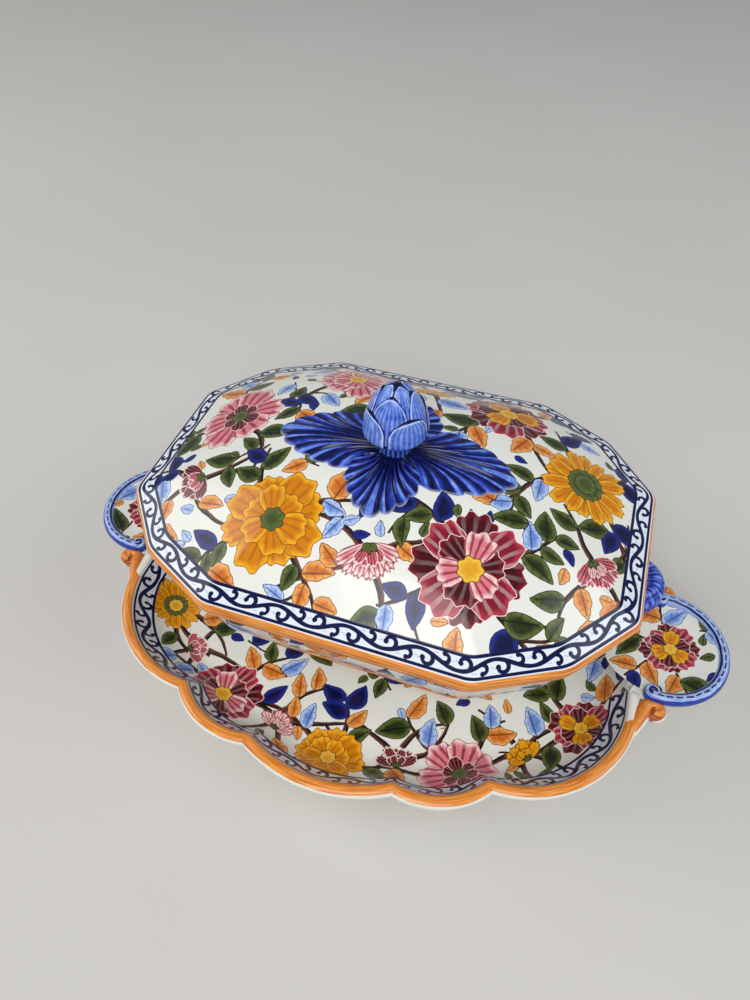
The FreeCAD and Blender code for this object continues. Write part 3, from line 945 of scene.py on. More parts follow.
FLOAT, COLOR, VECTOR = "NodeSocketFloat", "NodeSocketColor", "NodeSocketVector"
PAINTED = {"Colour": COLOR, "Mask": FLOAT}
WHITE = linear(226, 226, 216)
BAND_WHITE = linear(222, 228, 236)
DARK_INK = linear(2, 4, 36)
ROUGHNESS = 0.16
COAT = 0.15
PLAIN = 40.0


class Graph:
    """Short names for the shader nodes of one tree."""

    def __init__(self, tree: Tree) -> None:
        """Takes up a tree."""
        self.tree = tree

    def node(self, kind: str, **settings: object) -> bpy.types.Node:
        """Adds a node and sets its properties.

        Args:
            kind, settings: Its type and its properties.
        Returns:
            The node.
        """
        node = self.tree.nodes.new(kind)
        for key, value in settings.items():
            setattr(node, key, value)
        return node

    def put(self, socket: Socket, value: Value) -> None:
        """Links a socket, or sets a constant on it.

        Args:
            socket, value: The socket and what goes there, if anything.
        """
        if isinstance(value, Socket):
            self.tree.links.new(value, socket)
        elif value is not None:
            socket.default_value = value

    def fill(self, node: bpy.types.Node, *values: Value) -> Socket:
        """Puts values in the first sockets of a node, and gives its first output.

        Args:
            node, values: The node and what goes in its sockets.
        Returns:
            Its first output.
        """
        for socket, value in zip(node.inputs, values):
            self.put(socket, value)
        return node.outputs[0]

    def math(self, operation: str, a: Value, b: Value = None, c: Value = None, clamp: bool = False) -> Socket:
        """One sum of up to three values."""
        return self.fill(self.node("ShaderNodeMath", operation=operation, use_clamp=clamp), a, b, c)

    def sum(self, a: Value, b: Value, c: Value, clamp: bool = False) -> Socket:
        """The product of two values and a third one added."""
        return self.math("MULTIPLY_ADD", a, b, c, clamp)

    def times(self, a: Value, b: Value) -> Socket:
        """Product of two values."""
        return self.math("MULTIPLY", a, b)

    def minus(self, a: Value, b: Value) -> Socket:
        """First value less the second."""
        return self.math("SUBTRACT", a, b)

    def most(self, a: Value, b: Value) -> Socket:
        """Larger of two values."""
        return self.math("MAXIMUM", a, b)

    def ease(self, value: Value, low: float, high: float) -> Socket:
        """Smooth step of a value from 0 at low to 1 at high."""
        node = self.node("ShaderNodeMapRange", interpolation_type="SMOOTHSTEP")
        return self.fill(node, value, low, high, 0.0, 1.0)

    def stray(self, value: Value, noise: Value, amount: float, clamp: bool = False) -> Socket:
        """Moves a value to both sides by a noise."""
        return self.sum(self.minus(noise, 0.5), amount, value, clamp)

    def stripe(self, value: Value, place: float, outer: float, inner: float) -> Socket:
        """Mask of a line where a value is near a place, full inside inner and gone at outer."""
        return self.ease(self.math("ABSOLUTE", self.minus(value, place)), outer, inner)

    def length(self, x: Value, y: Value) -> Socket:
        """Length of a flat vector."""
        return self.math("SQRT", self.sum(x, x, self.times(y, y)))

    def mix(self, factor: Value, a: Value, b: Value) -> Socket:
        """Mixes two colours.

        Args:
            factor, a, b: Share of the second colour, and both colours.
        Returns:
            The mixed colour.
        """
        node = self.node("ShaderNodeMix", data_type="RGBA")
        for socket, item in zip((node.inputs[0], node.inputs[6], node.inputs[7]), (factor, a, b)):
            self.put(socket, item)
        return node.outputs[2]

    def noise(self, vector: Value, scale: float, detail: float, roughness: float = 0.5) -> Socket:
        """Noise value.

        Args:
            vector: Place.
            scale, detail, roughness: Its grain.
        Returns:
            Its value.
        """
        node = self.node("ShaderNodeTexNoise")
        for key, value in (("Vector", vector), ("Scale", scale), ("Detail", detail), ("Roughness", roughness)):
            self.put(node.inputs[key], value)
        return node.outputs["Fac"]

    def ramp(self, factor: Value, stops: Sequence[Tuple[float, Sequence[float]]], constant: bool = False) -> Socket:
        """Colour ramp.

        Args:
            factor: Place on the ramp.
            stops: Places and their colours.
            constant: Whether a colour holds up to the next stop.
        Returns:
            The colour.
        """
        node = self.node("ShaderNodeValToRGB")
        ramp = node.color_ramp
        ramp.interpolation = "CONSTANT" if constant else "LINEAR"
        while len(ramp.elements) < len(stops):
            ramp.elements.new(1.0)
        for element, (place, colour) in zip(ramp.elements, stops):
            element.position = place
            element.color = colour
        return self.fill(node, factor)

    def split(self, vector: Value) -> Tuple[Socket, ...]:
        """The three parts of a vector."""
        return tuple(self.fill(self.node("ShaderNodeSeparateXYZ"), vector).node.outputs)

    def attribute(self, name: str, output: str = "Fac") -> Socket:
        """A value kept on the mesh."""
        return self.node("ShaderNodeAttribute", attribute_name=name).outputs[output]

    def place(self) -> Socket:
        """Place on the object, in metres."""
        return self.node("ShaderNodeTexCoord").outputs["Object"]

    def border(self) -> Tuple[Socket, ...]:
        """Place along and across the painted border."""
        return self.split(self.node("ShaderNodeUVMap", uv_map="Border").outputs[0])[:2]

    def group(self, tree: Tree, **values: Value) -> bpy.types.Node:
        """A group of nodes with its inputs set by name.

        Args:
            tree, values: Tree of the group and its inputs.
        Returns:
            The node.
        """
        node = self.node("ShaderNodeGroup", node_tree=tree)
        for key, value in values.items():
            self.put(node.inputs[key], value)
        return node

    @classmethod
    def new_group(cls, name: str, colours: Sequence[str], values: Sequence[str], vectors: Sequence[str],
                  outputs: Dict[str, str]) -> Tuple["Graph", bpy.types.NodeOutputs, bpy.types.NodeInputs]:
        """Starts a shared group.

        Args:
            name: Its name.
            colours, values, vectors: Names of its inputs of each kind.
            outputs: Names of its outputs and their kinds.
        Returns:
            The graph, its inputs by name, and the sockets that take its outputs.
        """
        tree = bpy.data.node_groups.new(name, "ShaderNodeTree")
        for keys, kind in ((colours, COLOR), (vectors, VECTOR), (values, FLOAT)):
            for key in keys:
                tree.interface.new_socket(key, in_out="INPUT", socket_type=kind)
        for key, kind in outputs.items():
            tree.interface.new_socket(key, in_out="OUTPUT", socket_type=kind)
        graph = cls(tree)
        source = graph.node("NodeGroupInput")
        return graph, source.outputs, graph.node("NodeGroupOutput").inputs


class Glazes:
    """Builds the shared node groups and the materials of the ware."""

    def __init__(self) -> None:
        """Makes the groups, so that all materials share them."""
        self.twig_group = self.make_twig()
        self.layer_group = self.make_layer()
        self.scroll_group = self.make_scroll()
        self.edge_group = self.make_edge()
        self.wash_group = self.make_wash()

    @staticmethod
    def palette(graph: Graph, kind: Value, pick: Callable[[Pigment], Sequence[float]]) -> Socket:
        """A ramp that gives one property of each pigment by its number."""
        stops = [(paint.number / PALETTE_SPAN, tuple(pick(paint.value))) for paint in Paint]
        return graph.ramp(kind, stops, constant=True)

    @staticmethod
    def make_twig() -> Tree:
        """Twigs drawn from their sideways distance and half-width.

        Returns:
            Tree of the group.
        """
        graph, given, out = Graph.new_group("Twigs", ["Under"], ["Half", "Wobble"], ["Field"], PAINTED)
        side, over, _ = graph.split(given["Field"])
        rough = graph.stray(given["Half"], given["Wobble"], 0.8)
        distance = graph.most(graph.minus(graph.math("ABSOLUTE", side), rough), over)
        mask = graph.ease(distance, 0.14, -0.14)
        light = graph.sum(side, 0.45, graph.minus(given["Wobble"], 0.2), clamp=True)
        colour = graph.mix(light, linear(*Paint.TWIG.value.ink), linear(110, 66, 50))
        graph.put(out["Colour"], graph.mix(mask, given["Under"], colour))
        graph.put(out["Mask"], mask)
        return graph.tree

    def make_layer(self) -> Tree:
        """One layer of brush painting over the colour under it.

        Returns:
            Tree of the group.
        """
        graph, given, out = Graph.new_group("Brush layer", ["Under"], ["Kind", "Wobble"], ["Field"], PAINTED)
        raw, u, v = graph.split(given["Field"])
        distance = graph.stray(raw, given["Wobble"], 0.9)
        inner = self.palette(graph, given["Kind"], lambda p: linear(*p.inner))
        edge = self.palette(graph, given["Kind"], lambda p: linear(*p.edge))
        ink = self.palette(graph, given["Kind"], lambda p: linear(*p.ink))
        style = graph.node("ShaderNodeSeparateColor")
        graph.fill(style, self.palette(graph, given["Kind"], lambda p: (p.stripes, p.veins, p.line, 1.0)))
        stripes, veins, line = style.outputs
        cover = graph.ease(distance, 0.12, -0.12)
        tone = graph.minus(graph.ease(distance, -4.5, -0.4), 0.45)
        tone = graph.sum(given["Wobble"], 0.9, tone, clamp=True)
        colour = graph.mix(tone, inner, edge)
        fan = graph.math("DIVIDE", v, graph.math("ADD", graph.most(u, 0.0), 0.35))
        wave = graph.sum(given["Wobble"], 1.2, graph.times(fan, 13.0))
        stroke = graph.ease(graph.math("SINE", wave), 0.15, 0.7)
        stroke = graph.times(stroke, graph.ease(u, 1.0, 0.72))
        colour = graph.mix(graph.times(stroke, stripes), colour, ink)
        span = graph.math("ABSOLUTE", v)
        rib = graph.times(graph.ease(span, 0.11, 0.03), graph.ease(u, 0.92, 0.8))
        slant = graph.math("FRACT", graph.sum(span, -0.75, graph.times(u, 4.2)))
        side = graph.times(graph.stripe(slant, 0.5, 0.1, 0.02), 0.65)
        side = graph.times(side, graph.ease(span, 0.8, 0.5))
        colour = graph.mix(graph.times(graph.most(rib, side), veins), colour, ink)
        outline = graph.ease(graph.math("ADD", distance, line), -0.12, 0.12)
        colour = graph.mix(graph.times(outline, 0.92), colour, ink)
        graph.put(out["Colour"], graph.mix(cover, given["Under"], colour))
        graph.put(out["Mask"], cover)
        return graph.tree

    @staticmethod
    def arc(graph: Graph, x: Value, y: Value, centre: Pair, start: float, sweep: float,
            radii: Pair, widths: Pair, dot: float) -> Socket:
        """A clockwise curl that ends in a dot.

        Args:
            graph, x, y: Tree and place, in half-widths of the band.
            centre: Middle of the curl.
            start, sweep: First angle and length in radians.
            radii, widths: Radius and half-width at its first and last point.
            dot: Radius of the dot.
        Returns:
            Its mask.
        """
        dx = graph.minus(x, centre[0])
        dy = graph.minus(y, centre[1])
        radius = graph.length(dx, dy)
        angle = graph.minus(start, graph.math("ARCTAN2", dy, dx))
        angle = graph.math("FLOORED_MODULO", angle, TAU)
        want = graph.sum(angle, (radii[1] - radii[0]) / sweep, radii[0])
        half = graph.sum(angle, (widths[1] - widths[0]) / sweep, widths[0])
        gap = graph.minus(graph.math("ABSOLUTE", graph.minus(radius, want)), half)
        line = graph.times(graph.ease(gap, 0.03, -0.03), graph.math("LESS_THAN", angle, sweep))
        tip_x, tip_y = radii[1] * toward(start - sweep)
        tip = graph.length(graph.minus(dx, tip_x), graph.minus(dy, tip_y))
        return graph.most(line, graph.ease(tip, dot + 0.03, dot - 0.03))

    @classmethod
    def make_scroll(cls) -> Tree:
        """Running scroll: a waving stem with two curls in each bend. Along is in periods, Across in half-widths.

        Returns:
            Tree of the group.
        """
        graph, given, out = Graph.new_group(
            "Running scroll", [], ["Along", "Across"], [], {"Mask": FLOAT, "Touch": FLOAT})
        bend = 4.5
        twice = graph.times(given["Along"], 2.0)
        cell = graph.math("FLOOR", graph.math("ADD", twice, 0.5))
        x = graph.times(graph.minus(twice, cell), bend)
        odd = graph.math("FLOORED_MODULO", cell, 2.0)
        y = graph.times(given["Across"], graph.sum(odd, -2.0, 1.0))
        wave = graph.times(x, math.pi / bend)
        stem = graph.math("ABSOLUTE", graph.sum(graph.math("COSINE", wave), -0.66, y))
        bold = graph.sum(graph.math("ABSOLUTE", graph.math("SINE", wave)), 0.07, 0.23)
        stem = graph.ease(graph.minus(stem, bold), 0.03, -0.03)
        large = cls.arc(graph, x, y, (0.88, -0.3), 0.85, 4.0, (0.82, 0.48), (0.28, 0.22), 0.32)
        small = cls.arc(graph, x, y, (-1.5, -0.36), 1.9, 3.5, (0.6, 0.46), (0.26, 0.21), 0.3)
        graph.put(out["Mask"], graph.most(stem, graph.most(large, small)))
        first = cls.arc(graph, x, y, (-0.35, -0.5), 2.4, 2.2, (0.3, 0.26), (0.05, 0.04), 0.09)
        second = cls.arc(graph, x, y, (2.0, 0.5), 2.8, 2.0, (0.26, 0.22), (0.05, 0.04), 0.08)
        graph.put(out["Touch"], graph.most(first, second))
        return graph.tree

    def make_edge(self) -> Tree:
        """Scroll band between two lines, and the orange edge beyond it. Depth counts from the band's inner line.

        Returns:
            Tree of the group.
        """
        graph, given, out = Graph.new_group(
            "Edge bands", ["Field"], ["Along", "Depth", "Band", "Edge", "End", "Wobble"], [], PAINTED)
        depth, band = given["Depth"], given["Band"]
        middle = graph.times(band, 0.5)
        half = graph.minus(middle, 2.0)
        across = graph.math("DIVIDE", graph.minus(depth, middle), half)
        scroll = graph.group(self.scroll_group, Along=given["Along"], Across=across)
        touch = graph.times(scroll.outputs["Touch"], 0.55)
        white = graph.mix(touch, BAND_WHITE, linear(116, 134, 190))
        ink = graph.mix(given["Wobble"], DARK_INK, linear(12, 19, 82))
        colour = graph.mix(scroll.outputs["Mask"], white, ink)
        first = graph.stripe(depth, 0.9, 1.2, 0.95)
        second = graph.stripe(graph.minus(band, depth), 0.6, 1.05, 0.8)
        colour = graph.mix(graph.most(first, second), colour, ink)
        grain = graph.node("ShaderNodeCombineXYZ")
        graph.fill(grain, graph.times(given["Along"], 0.9), graph.times(depth, 0.45), 0.0)
        streak = graph.noise(grain.outputs[0], 2.2, 2.0)
        orange = graph.mix(graph.ease(streak, 0.3, 0.72), linear(198, 104, 28), linear(238, 164, 78))
        inside = graph.ease(depth, -0.2, 0.1)
        painted = graph.mix(inside, given["Field"], colour)
        starts = graph.minus(depth, given["Edge"])
        painted = graph.mix(graph.ease(starts, -0.25, 0.25), painted, orange)
        ends = graph.minus(graph.stray(depth, streak, 2.4), given["End"])
        painted = graph.mix(graph.ease(ends, -0.4, 0.4), painted, WHITE)
        graph.put(out["Colour"], painted)
        graph.put(out["Mask"], inside)
        return graph.tree

    @staticmethod
    def make_wash() -> Tree:
        """Cobalt wash that is dark in grooves and pale on ridges, with fine brush strokes. Its tone holds the painted
        highlights of the leaves and the painted shade of the bud's scales.

        Returns:
            Tree of the group.
        """
        graph, given, out = Graph.new_group(
            "Cobalt wash", [], ["Relief", "Stroke", "Pale", "Wobble"], [], {"Colour": COLOR})
        stroke = graph.math("SINE", graph.sum(given["Wobble"], 3.0, given["Stroke"]))
        tone = graph.sum(stroke, 0.09, given["Relief"])
        tone = graph.stray(tone, given["Wobble"], 0.55, clamp=True)
        colour = graph.ramp(tone, [
            (0.0, DARK_INK), (0.28, linear(13, 22, 92)), (0.55, linear(38, 66, 176)),
            (0.8, linear(110, 144, 224)), (1.0, linear(196, 214, 242))])
        graph.put(out["Colour"], graph.mix(given["Pale"], colour, linear(212, 222, 238)))
        return graph.tree

    @staticmethod
    def start(name: str) -> Tuple[Material, Graph, bpy.types.NodeInputs]:
        """A glossy ceramic material.

        Args:
            name: Its name.
        Returns:
            The material, its graph and the sockets of its shader.
        """
        material = bpy.data.materials.new(name)
        material.use_nodes = True
        shader = material.node_tree.nodes["Principled BSDF"].inputs
        shader["Roughness"].default_value = ROUGHNESS
        shader["IOR"].default_value = 1.52
        shader["Specular IOR Level"].default_value = 0.3
        shader["Coat Weight"].default_value = COAT
        shader["Coat Roughness"].default_value = 0.06
        return material, Graph(material.node_tree), shader

    @staticmethod
    def wobble(graph: Graph) -> Socket:
        """Uneven flow of a brush on relief."""
        return graph.noise(graph.place(), 190.0, 3.0, 0.6)

    @staticmethod
    def relief(graph: Graph, shader: bpy.types.NodeInputs, strength: float, height: Value = None) -> None:
        """Bumps the surface with the slight waves of a hand-dipped glaze.

        Args:
            graph, shader: Tree and shader of the material.
            strength: Strength of the bump.
            height: Height of paint to add.
        """
        waves = graph.noise(graph.place(), 55.0, 1.0)
        total = waves if height is None else graph.sum(waves, 0.35, height)
        bump = graph.node("ShaderNodeBump")
        for key, value in (("Strength", strength), ("Distance", 0.0006), ("Height", total)):
            graph.put(bump.inputs[key], value)
        graph.put(shader["Normal"], bump.outputs["Normal"])

    def painted(self, name: str, band: float, edge: float, end: float) -> Material:
        """White glaze with brush-painted flowers and a scroll border.

        Args:
            name: Name of the material.
            band: Width of the scroll band.
            edge: Depth at which the orange edge starts.
            end: Depth at which it stops.
        Returns:
            The material.
        """
        material, graph, shader = self.start(name)
        place = graph.place()
        wobble = graph.noise(place, 260.0, 2.0, 0.6)
        colour = graph.mix(graph.noise(place, 14.0, 3.0), linear(220, 221, 210), linear(232, 232, 224))
        height = None
        for paint in Layer:
            given = {"Under": colour, "Field": graph.attribute("field%d" % paint, "Vector"), "Wobble": wobble}
            value = graph.attribute("kind%d" % paint)
            if paint in Canvas.TWIGS:
                node = graph.group(self.twig_group, Half=value, **given)
            else:
                node = graph.group(self.layer_group, Kind=value, **given)
            colour, mask = node.outputs["Colour"], node.outputs["Mask"]
            height = mask if height is None else graph.most(height, mask)
        along, depth = graph.border()
        node = graph.group(self.edge_group, Field=colour, Along=along, Depth=depth,
                           Band=band, Edge=edge, End=end, Wobble=wobble)
        graph.put(shader["Base Color"], node.outputs["Colour"])
        self.relief(graph, shader, 0.25, graph.times(height, 0.5))
        return material

    def footed(self) -> Material:
        """White glaze that leaves bare clay where the mesh says so.

        Returns:
            The material.
        """
        material, graph, shader = self.start("Foot ring")
        bare = graph.attribute("bare")
        clay = graph.mix(graph.noise(graph.place(), 120.0, 4.0), linear(196, 162, 122), linear(222, 194, 158))
        graph.put(shader["Base Color"], graph.mix(bare, WHITE, clay))
        graph.put(shader["Roughness"], graph.sum(bare, 0.6, ROUGHNESS))
        graph.put(shader["Coat Weight"], graph.sum(bare, -COAT, COAT))
        return material

    def ringed(self) -> Material:
        """Orange edge paint, from brown to pale orange by the tone that each mesh gives: painted light and shade on
        the beads, and a darker flat round the eye of each knob.

        Returns:
            The material.
        """
        material, graph, shader = self.start("Volute paint")
        wobble = self.wobble(graph)
        tone = graph.stray(graph.attribute("relief"), wobble, 0.7, clamp=True)
        stroke = graph.math("SINE", graph.sum(wobble, 4.0, graph.attribute("stroke")))
        tone = graph.sum(stroke, 0.08, tone, clamp=True)
        colour = graph.ramp(tone, [
            (0.0, linear(122, 58, 20)), (0.45, linear(196, 102, 30)),
            (0.8, linear(226, 140, 58)), (1.0, linear(238, 166, 84))])
        graph.put(shader["Base Color"], graph.mix(graph.attribute("pale"), colour, WHITE))
        self.relief(graph, shader, 0.2)
        return material

    def beaded(self) -> Material:
        """Pale blue bead with a broken dark line along its middle, and darker sides.

        Returns:
            The material.
        """
        material, graph, shader = self.start("Ear rim")
        wobble = self.wobble(graph)
        along, across = graph.border()
        grain = graph.node("ShaderNodeCombineXYZ")
        graph.fill(grain, graph.times(along, 0.12), across, 0.0)
        streak = graph.ease(graph.noise(grain.outputs[0], 1.4, 3.0), 0.3, 0.7)
        pale = graph.mix(streak, linear(124, 152, 216), linear(184, 204, 238))
        deep = graph.mix(streak, linear(18, 32, 122), linear(48, 78, 186))
        edge = graph.stray(across, wobble, 1.2)
        colour = graph.mix(graph.ease(edge, 14.2, 15.2), pale, deep)
        dash = graph.math("FRACT", graph.math("DIVIDE", graph.sum(wobble, 3.0, along), 7.0))
        dash = graph.times(graph.ease(dash, 0.08, 0.14), graph.ease(dash, 0.84, 0.78))
        line = graph.times(graph.stripe(edge, 12.0, 0.65, 0.4), dash)
        inner = graph.stripe(edge, 9.3, 0.95, 0.65)
        colour = graph.mix(graph.most(line, inner), colour, linear(18, 26, 92))
        graph.put(shader["Base Color"], graph.mix(graph.ease(edge, 20.6, 21.6), colour, WHITE))
        self.relief(graph, shader, 0.2)
        return material

    def cobalt(self, name: str) -> Material:
        """Cobalt glaze over relief.

        Args:
            name: Name of the material.
        Returns:
            The material.
        """
        material, graph, shader = self.start(name)
        wash = {key.title(): graph.attribute(key) for key in ("relief", "stroke", "pale")}
        node = graph.group(self.wash_group, Wobble=self.wobble(graph), **wash)
        graph.put(shader["Base Color"], node.outputs["Colour"])
        self.relief(graph, shader, 0.2)
        return material


@dataclass
class Lid:
    """Domed lid with its finial."""

    sizes: CoverSizes
    plan: CoverPlan
    glazes: Glazes
    DOME_ROWS = 118
    PERIODS = 22
    BAND = 13.0
    LIP = 11.0
    ORANGE = (14.2, 22.6)
    GROUND = (156, 118)

    def height(self, scale: Union[Array, float]) -> Array:
        """Height of the dome at a share of its plan."""
        return self.sizes.dome_z + self.sizes.dome_rise * (1 - np.asarray(scale, float) ** self.sizes.dome_power)

    def build(self) -> None:
        """Makes the shell and the finial."""
        self.shell()
        Finial(self.sizes, self.plan, self.height, self.glazes.cobalt("Cobalt")).build()

    def shell(self) -> None:
        """Outside, lip, flange and inside in one skin, with flowers on the dome."""
        z, plan = self.sizes, self.plan
        rings = Rings()
        for scale in np.linspace(0.03, 1.0, self.DOME_ROWS):
            rings.add(plan.dome_ring(z.band, scale), float(self.height(scale)), -150.0 * (1 - scale))
        for share in np.linspace(0.08, 1.0, 12):
            height = z.dome_z + (z.line_z - z.dome_z) * share
            rings.add(plan.ring(z.band * (1 - share)), height, self.BAND * share)
        for share in np.linspace(0.1, 1.0, 10):
            turn = math.pi * share
            height = z.line_z - (z.line_z - z.seat_z) * (1 - math.cos(turn)) / 2
            rings.add(plan.ring(-z.lip_swell * math.sin(turn)), height, self.BAND + self.LIP * share)
        bore = z.flange_inset + z.flange_wall
        low = z.seat_z - z.flange_depth
        flange = ((4.0, z.seat_z), (z.flange_inset - 0.6, z.seat_z), (z.flange_inset, z.seat_z - 0.6),
                  (z.flange_inset, low + 1.0), (z.flange_inset + 1.0, low), (bore - 1.0, low), (bore, low + 1.0),
                  (bore, z.seat_z), (bore, z.line_z - 1.0))
        for inset, height in flange:
            rings.add(plan.ring(inset), height, PLAIN)
        crown = z.dome_z + z.dome_rise - z.wall - z.line_z
        for scale in np.linspace(0.99, 0.03, 22):
            rings.add(plan.dome_ring(bore, scale), z.line_z + crown * (1 - scale ** z.dome_power), PLAIN)
        points = rings.points()
        canvas = Canvas(meridian_chart(points, self.DOME_ROWS + 2))
        self.flowers(canvas)
        surface = Surface(points, canvas=canvas, border=rings.border(self.PERIODS), caps=(True, True), flip=True)
        paint = self.glazes.painted("Lid paint", self.BAND, *self.ORANGE)
        surface.build("lid_skin", paint, Body.LID, Slot.PAINTED, "lid_shell")

    def flowers(self, canvas: Canvas) -> None:
        """Blooms in a ring round the finial, and foliage between them.

        Args:
            canvas: The dome.
        """
        wide, deep = self.GROUND
        florist = Florist(canvas, 11, lambda x, y: (
            abs(x) < wide and abs(y) < deep and (x / 58) ** 2 + (y / 40) ** 2 > 0.5))
        florist.rosette((64, -64), 32, Paint.CRIMSON, Paint.PINK, Paint.HEART, 0.2)
        florist.rosette((-54, -66), 31, Paint.OCHRE, Paint.OCHRE, Paint.MOSS, 0.5)
        florist.poppy((-114, 14), 30, Paint.PINK, Paint.CRIMSON, 0.4)
        florist.daisy((116, 26), 29, Paint.OCHRE, Paint.MOSS, 0.1)
        florist.rosette((-50, 72), 30, Paint.PINK, Paint.PINK, Paint.HEART, 0.4)
        florist.rosette((58, 70), 29, Paint.CRIMSON, Paint.OCHRE, Paint.HEART, 0.9)
        florist.carnation((6, -66), 21, Paint.PINK, Paint.ROSE, -1.3)
        florist.carnation((-112, -42), 19, Paint.CRIMSON, Paint.ROSE, -2.4)
        florist.carnation((128, -28), 19, Paint.ROSE, Paint.PINK, -0.7)
        florist.carnation((4, 72), 18, Paint.OCHRE, Paint.OCHRE, 1.7)
        florist.branch(4, 0.7, (30, 52), 4.4)
        florist.fill((-wide, -deep), (wide, deep), 500, 500)


@dataclass(frozen=True)
class Scale:
    """Form of the scales in one row of the bud.

    Args:
        low, top: Shares of the bud's height between which they lie.
        lift: How far they stand off the bud.
        bend: Share of their length at which they start to round off.
        line: Width of their dark outline.
    """

    low: float
    top: float
    lift: float
    bend: float
    line: float


@dataclass
class Finial:
    """Leaves, collar and bud on top of the lid.

    Args:
        sizes: Sizes of the lid.
        plan: Plan of the lid.
        height: Height of the dome by its scale.
        material: Cobalt glaze.
    """

    sizes: CoverSizes
    plan: CoverPlan
    height: Callable[[Array], Array]
    material: Material
    LONG_LEAF = (76.0, 52.0)
    SHORT_LEAF = (52.0, 50.0)
    LEAF_ROOT = (8.0, 7.0)
    LOBES = 5.0
    FLUTES = 7.0
    NOTCH = 3.6
    COLLAR_Z = 180.0
    BUD_RADIUS = 19.5
    BUD_HEIGHT = 39.0
    BUD_WIDEST = 0.18
    BUD_SCALES = 4
    BUD_TURN = -math.pi / 4
    BUD_ROWS = (Scale(0.0, 0.61, 2.1, 0.55, 1.0), Scale(0.2, 0.9, 1.1, 0.58, 0.9), Scale(0.42, 0.995, 0.3, 0.88, 0.5))

    def build(self) -> None:
        """Makes all finial pieces."""
        for index, name in enumerate(("leaf_right", "leaf_back", "leaf_left", "leaf_front")):
            self.leaf(name, index * math.pi / 2, *(self.SHORT_LEAF if index % 2 else self.LONG_LEAF))
        self.collar()
        self.bud()

    def dome(self, x: Array, y: Array) -> Array:
        """Height of the dome at a place.

        Args:
            x, y: The place.
        Returns:
            The height.
        """
        share = 0.35
        ring = self.plan.dome_ring(self.sizes.band, share) / share
        angle = np.arctan2(ring[:, 1], ring[:, 0])
        order = np.argsort(angle)
        reach = np.linalg.norm(ring, axis=1)[order]
        return self.height(np.hypot(x, y) / np.interp(np.arctan2(y, x), angle[order], reach, period=TAU))

    def leaf(self, name: str, turn: float, length: float, width: float) -> None:
        """Acanthus leaf whose flutes sweep from the root to rounded lobes on its edge.

        Args:
            name, turn: Its CAD node and its heading.
            length, width: Its size.
        """
        along = np.linspace(0.0, 1.0, 80)[:, None]
        side = np.linspace(-1.0, 1.0, 321)[None]
        span = np.abs(side)
        lobe_wave = np.abs(np.cos(math.pi * self.LOBES * span ** 0.95))
        end_x = length * (1 - 0.8 * span ** 1.25)
        end_y = np.sign(side) * width / 2 * np.sin(math.pi * (end_x / length) ** 0.75) ** 0.56
        root_x, root_y = self.LEAF_ROOT[0], side * self.LEAF_ROOT[1]
        reach = 1.0 - self.NOTCH * (1 - lobe_wave ** 0.6) / np.hypot(end_x - root_x, end_y - root_y)
        end_x, end_y = root_x + (end_x - root_x) * reach, root_y + (end_y - root_y) * reach
        mid_x = root_x + (end_x - root_x) * 0.72
        mid_y = root_y + (end_y - root_y) * 0.24
        a, b, c = (1 - along) ** 2, 2 * along * (1 - along), along ** 2
        x = a * root_x + b * mid_x + c * end_x
        y = a * root_y + b * mid_y + c * end_y
        fine_phase = TAU * self.FLUTES * span ** 0.95
        ridge = (0.5 + 0.5 * np.cos(fine_phase)) ** 0.55
        fold = lobe_wave ** 0.35
        rise = np.sin(math.pi * np.minimum(1.0, along * 0.86 + 0.14)) ** 0.6
        lift = 0.9 + rise * (0.3 + 1.5 * fold + 0.75 * ridge) + 1.0 * np.exp(-(side * 9) ** 2) * rise
        lift = lift + 1.6 * along ** 3 * np.exp(-(side * 2.5) ** 2)
        edge = smooth(1.0, 0.94, along) * smooth(1.0, 0.97, span)
        cosine, sine = toward(turn)
        world_x, world_y = x * cosine - y * sine, x * sine + y * cosine
        points = np.stack([world_x, world_y, self.dome(world_x, world_y) - 0.6 + lift * edge], -1)
        open_out = 0.3 + 0.7 * smooth(0.05, 0.8, along)
        relief = 0.02 + (0.34 * ridge ** 1.2 + 0.32 * ridge * fold) * open_out
        # Painted highlight: a pale line along one side of each ridge of the leaf.
        painted_highlight = np.exp(-((np.cos(fine_phase) - 0.5) / 0.2) ** 2) * (np.sin(fine_phase) > 0)
        relief = relief + 0.3 * painted_highlight * smooth(0.15, 0.6, along) * smooth(1.0, 0.85, along)
        values = brushed(relief, 90.0 * side, 0.7 * smooth(0.945, 0.995, along))
        Surface(points, closed=False, values=values).build(name + "_skin", self.material, Body.LID, Slot.COBALT, name)

    def collar(self) -> None:
        """Small cup with upright flutes."""
        turn = circle(288)
        radius, rise = columns_of(((9.8, -12.5), (9.7, -9.0), (9.6, -6.0), (9.9, -3.6),
                                   (10.5, -1.8), (11.0, -0.5), (10.8, 0.3), (9.6, 0.6)))
        groove = np.abs(np.sin(turn * 10)) ** 0.6
        points = turned(radius * (1 - 0.06 * (1 - groove)), self.COLLAR_Z + rise, turn)
        surface = Surface(points, values=brushed(0.05 + 0.6 * groove), caps=(True, True))
        surface.build("collar_skin", self.material, Body.LID, Slot.COBALT, "finial_collar")

    def egg(self, share: Array) -> Array:
        """Radius of the bud at a share of its height.

        Args:
            share: The share.
        Returns:
            The radius.
        """
        widest = self.BUD_WIDEST
        above = np.clip((share - widest) / (1 - widest), 0, 1)
        below = np.clip(share / widest, 0, 1)
        width = np.where(share > widest, np.sqrt(1 - above ** 1.7), 0.54 + 0.46 * np.sin(math.pi / 2 * below))
        return np.maximum(self.BUD_RADIUS * width - 2.4, 0.4)

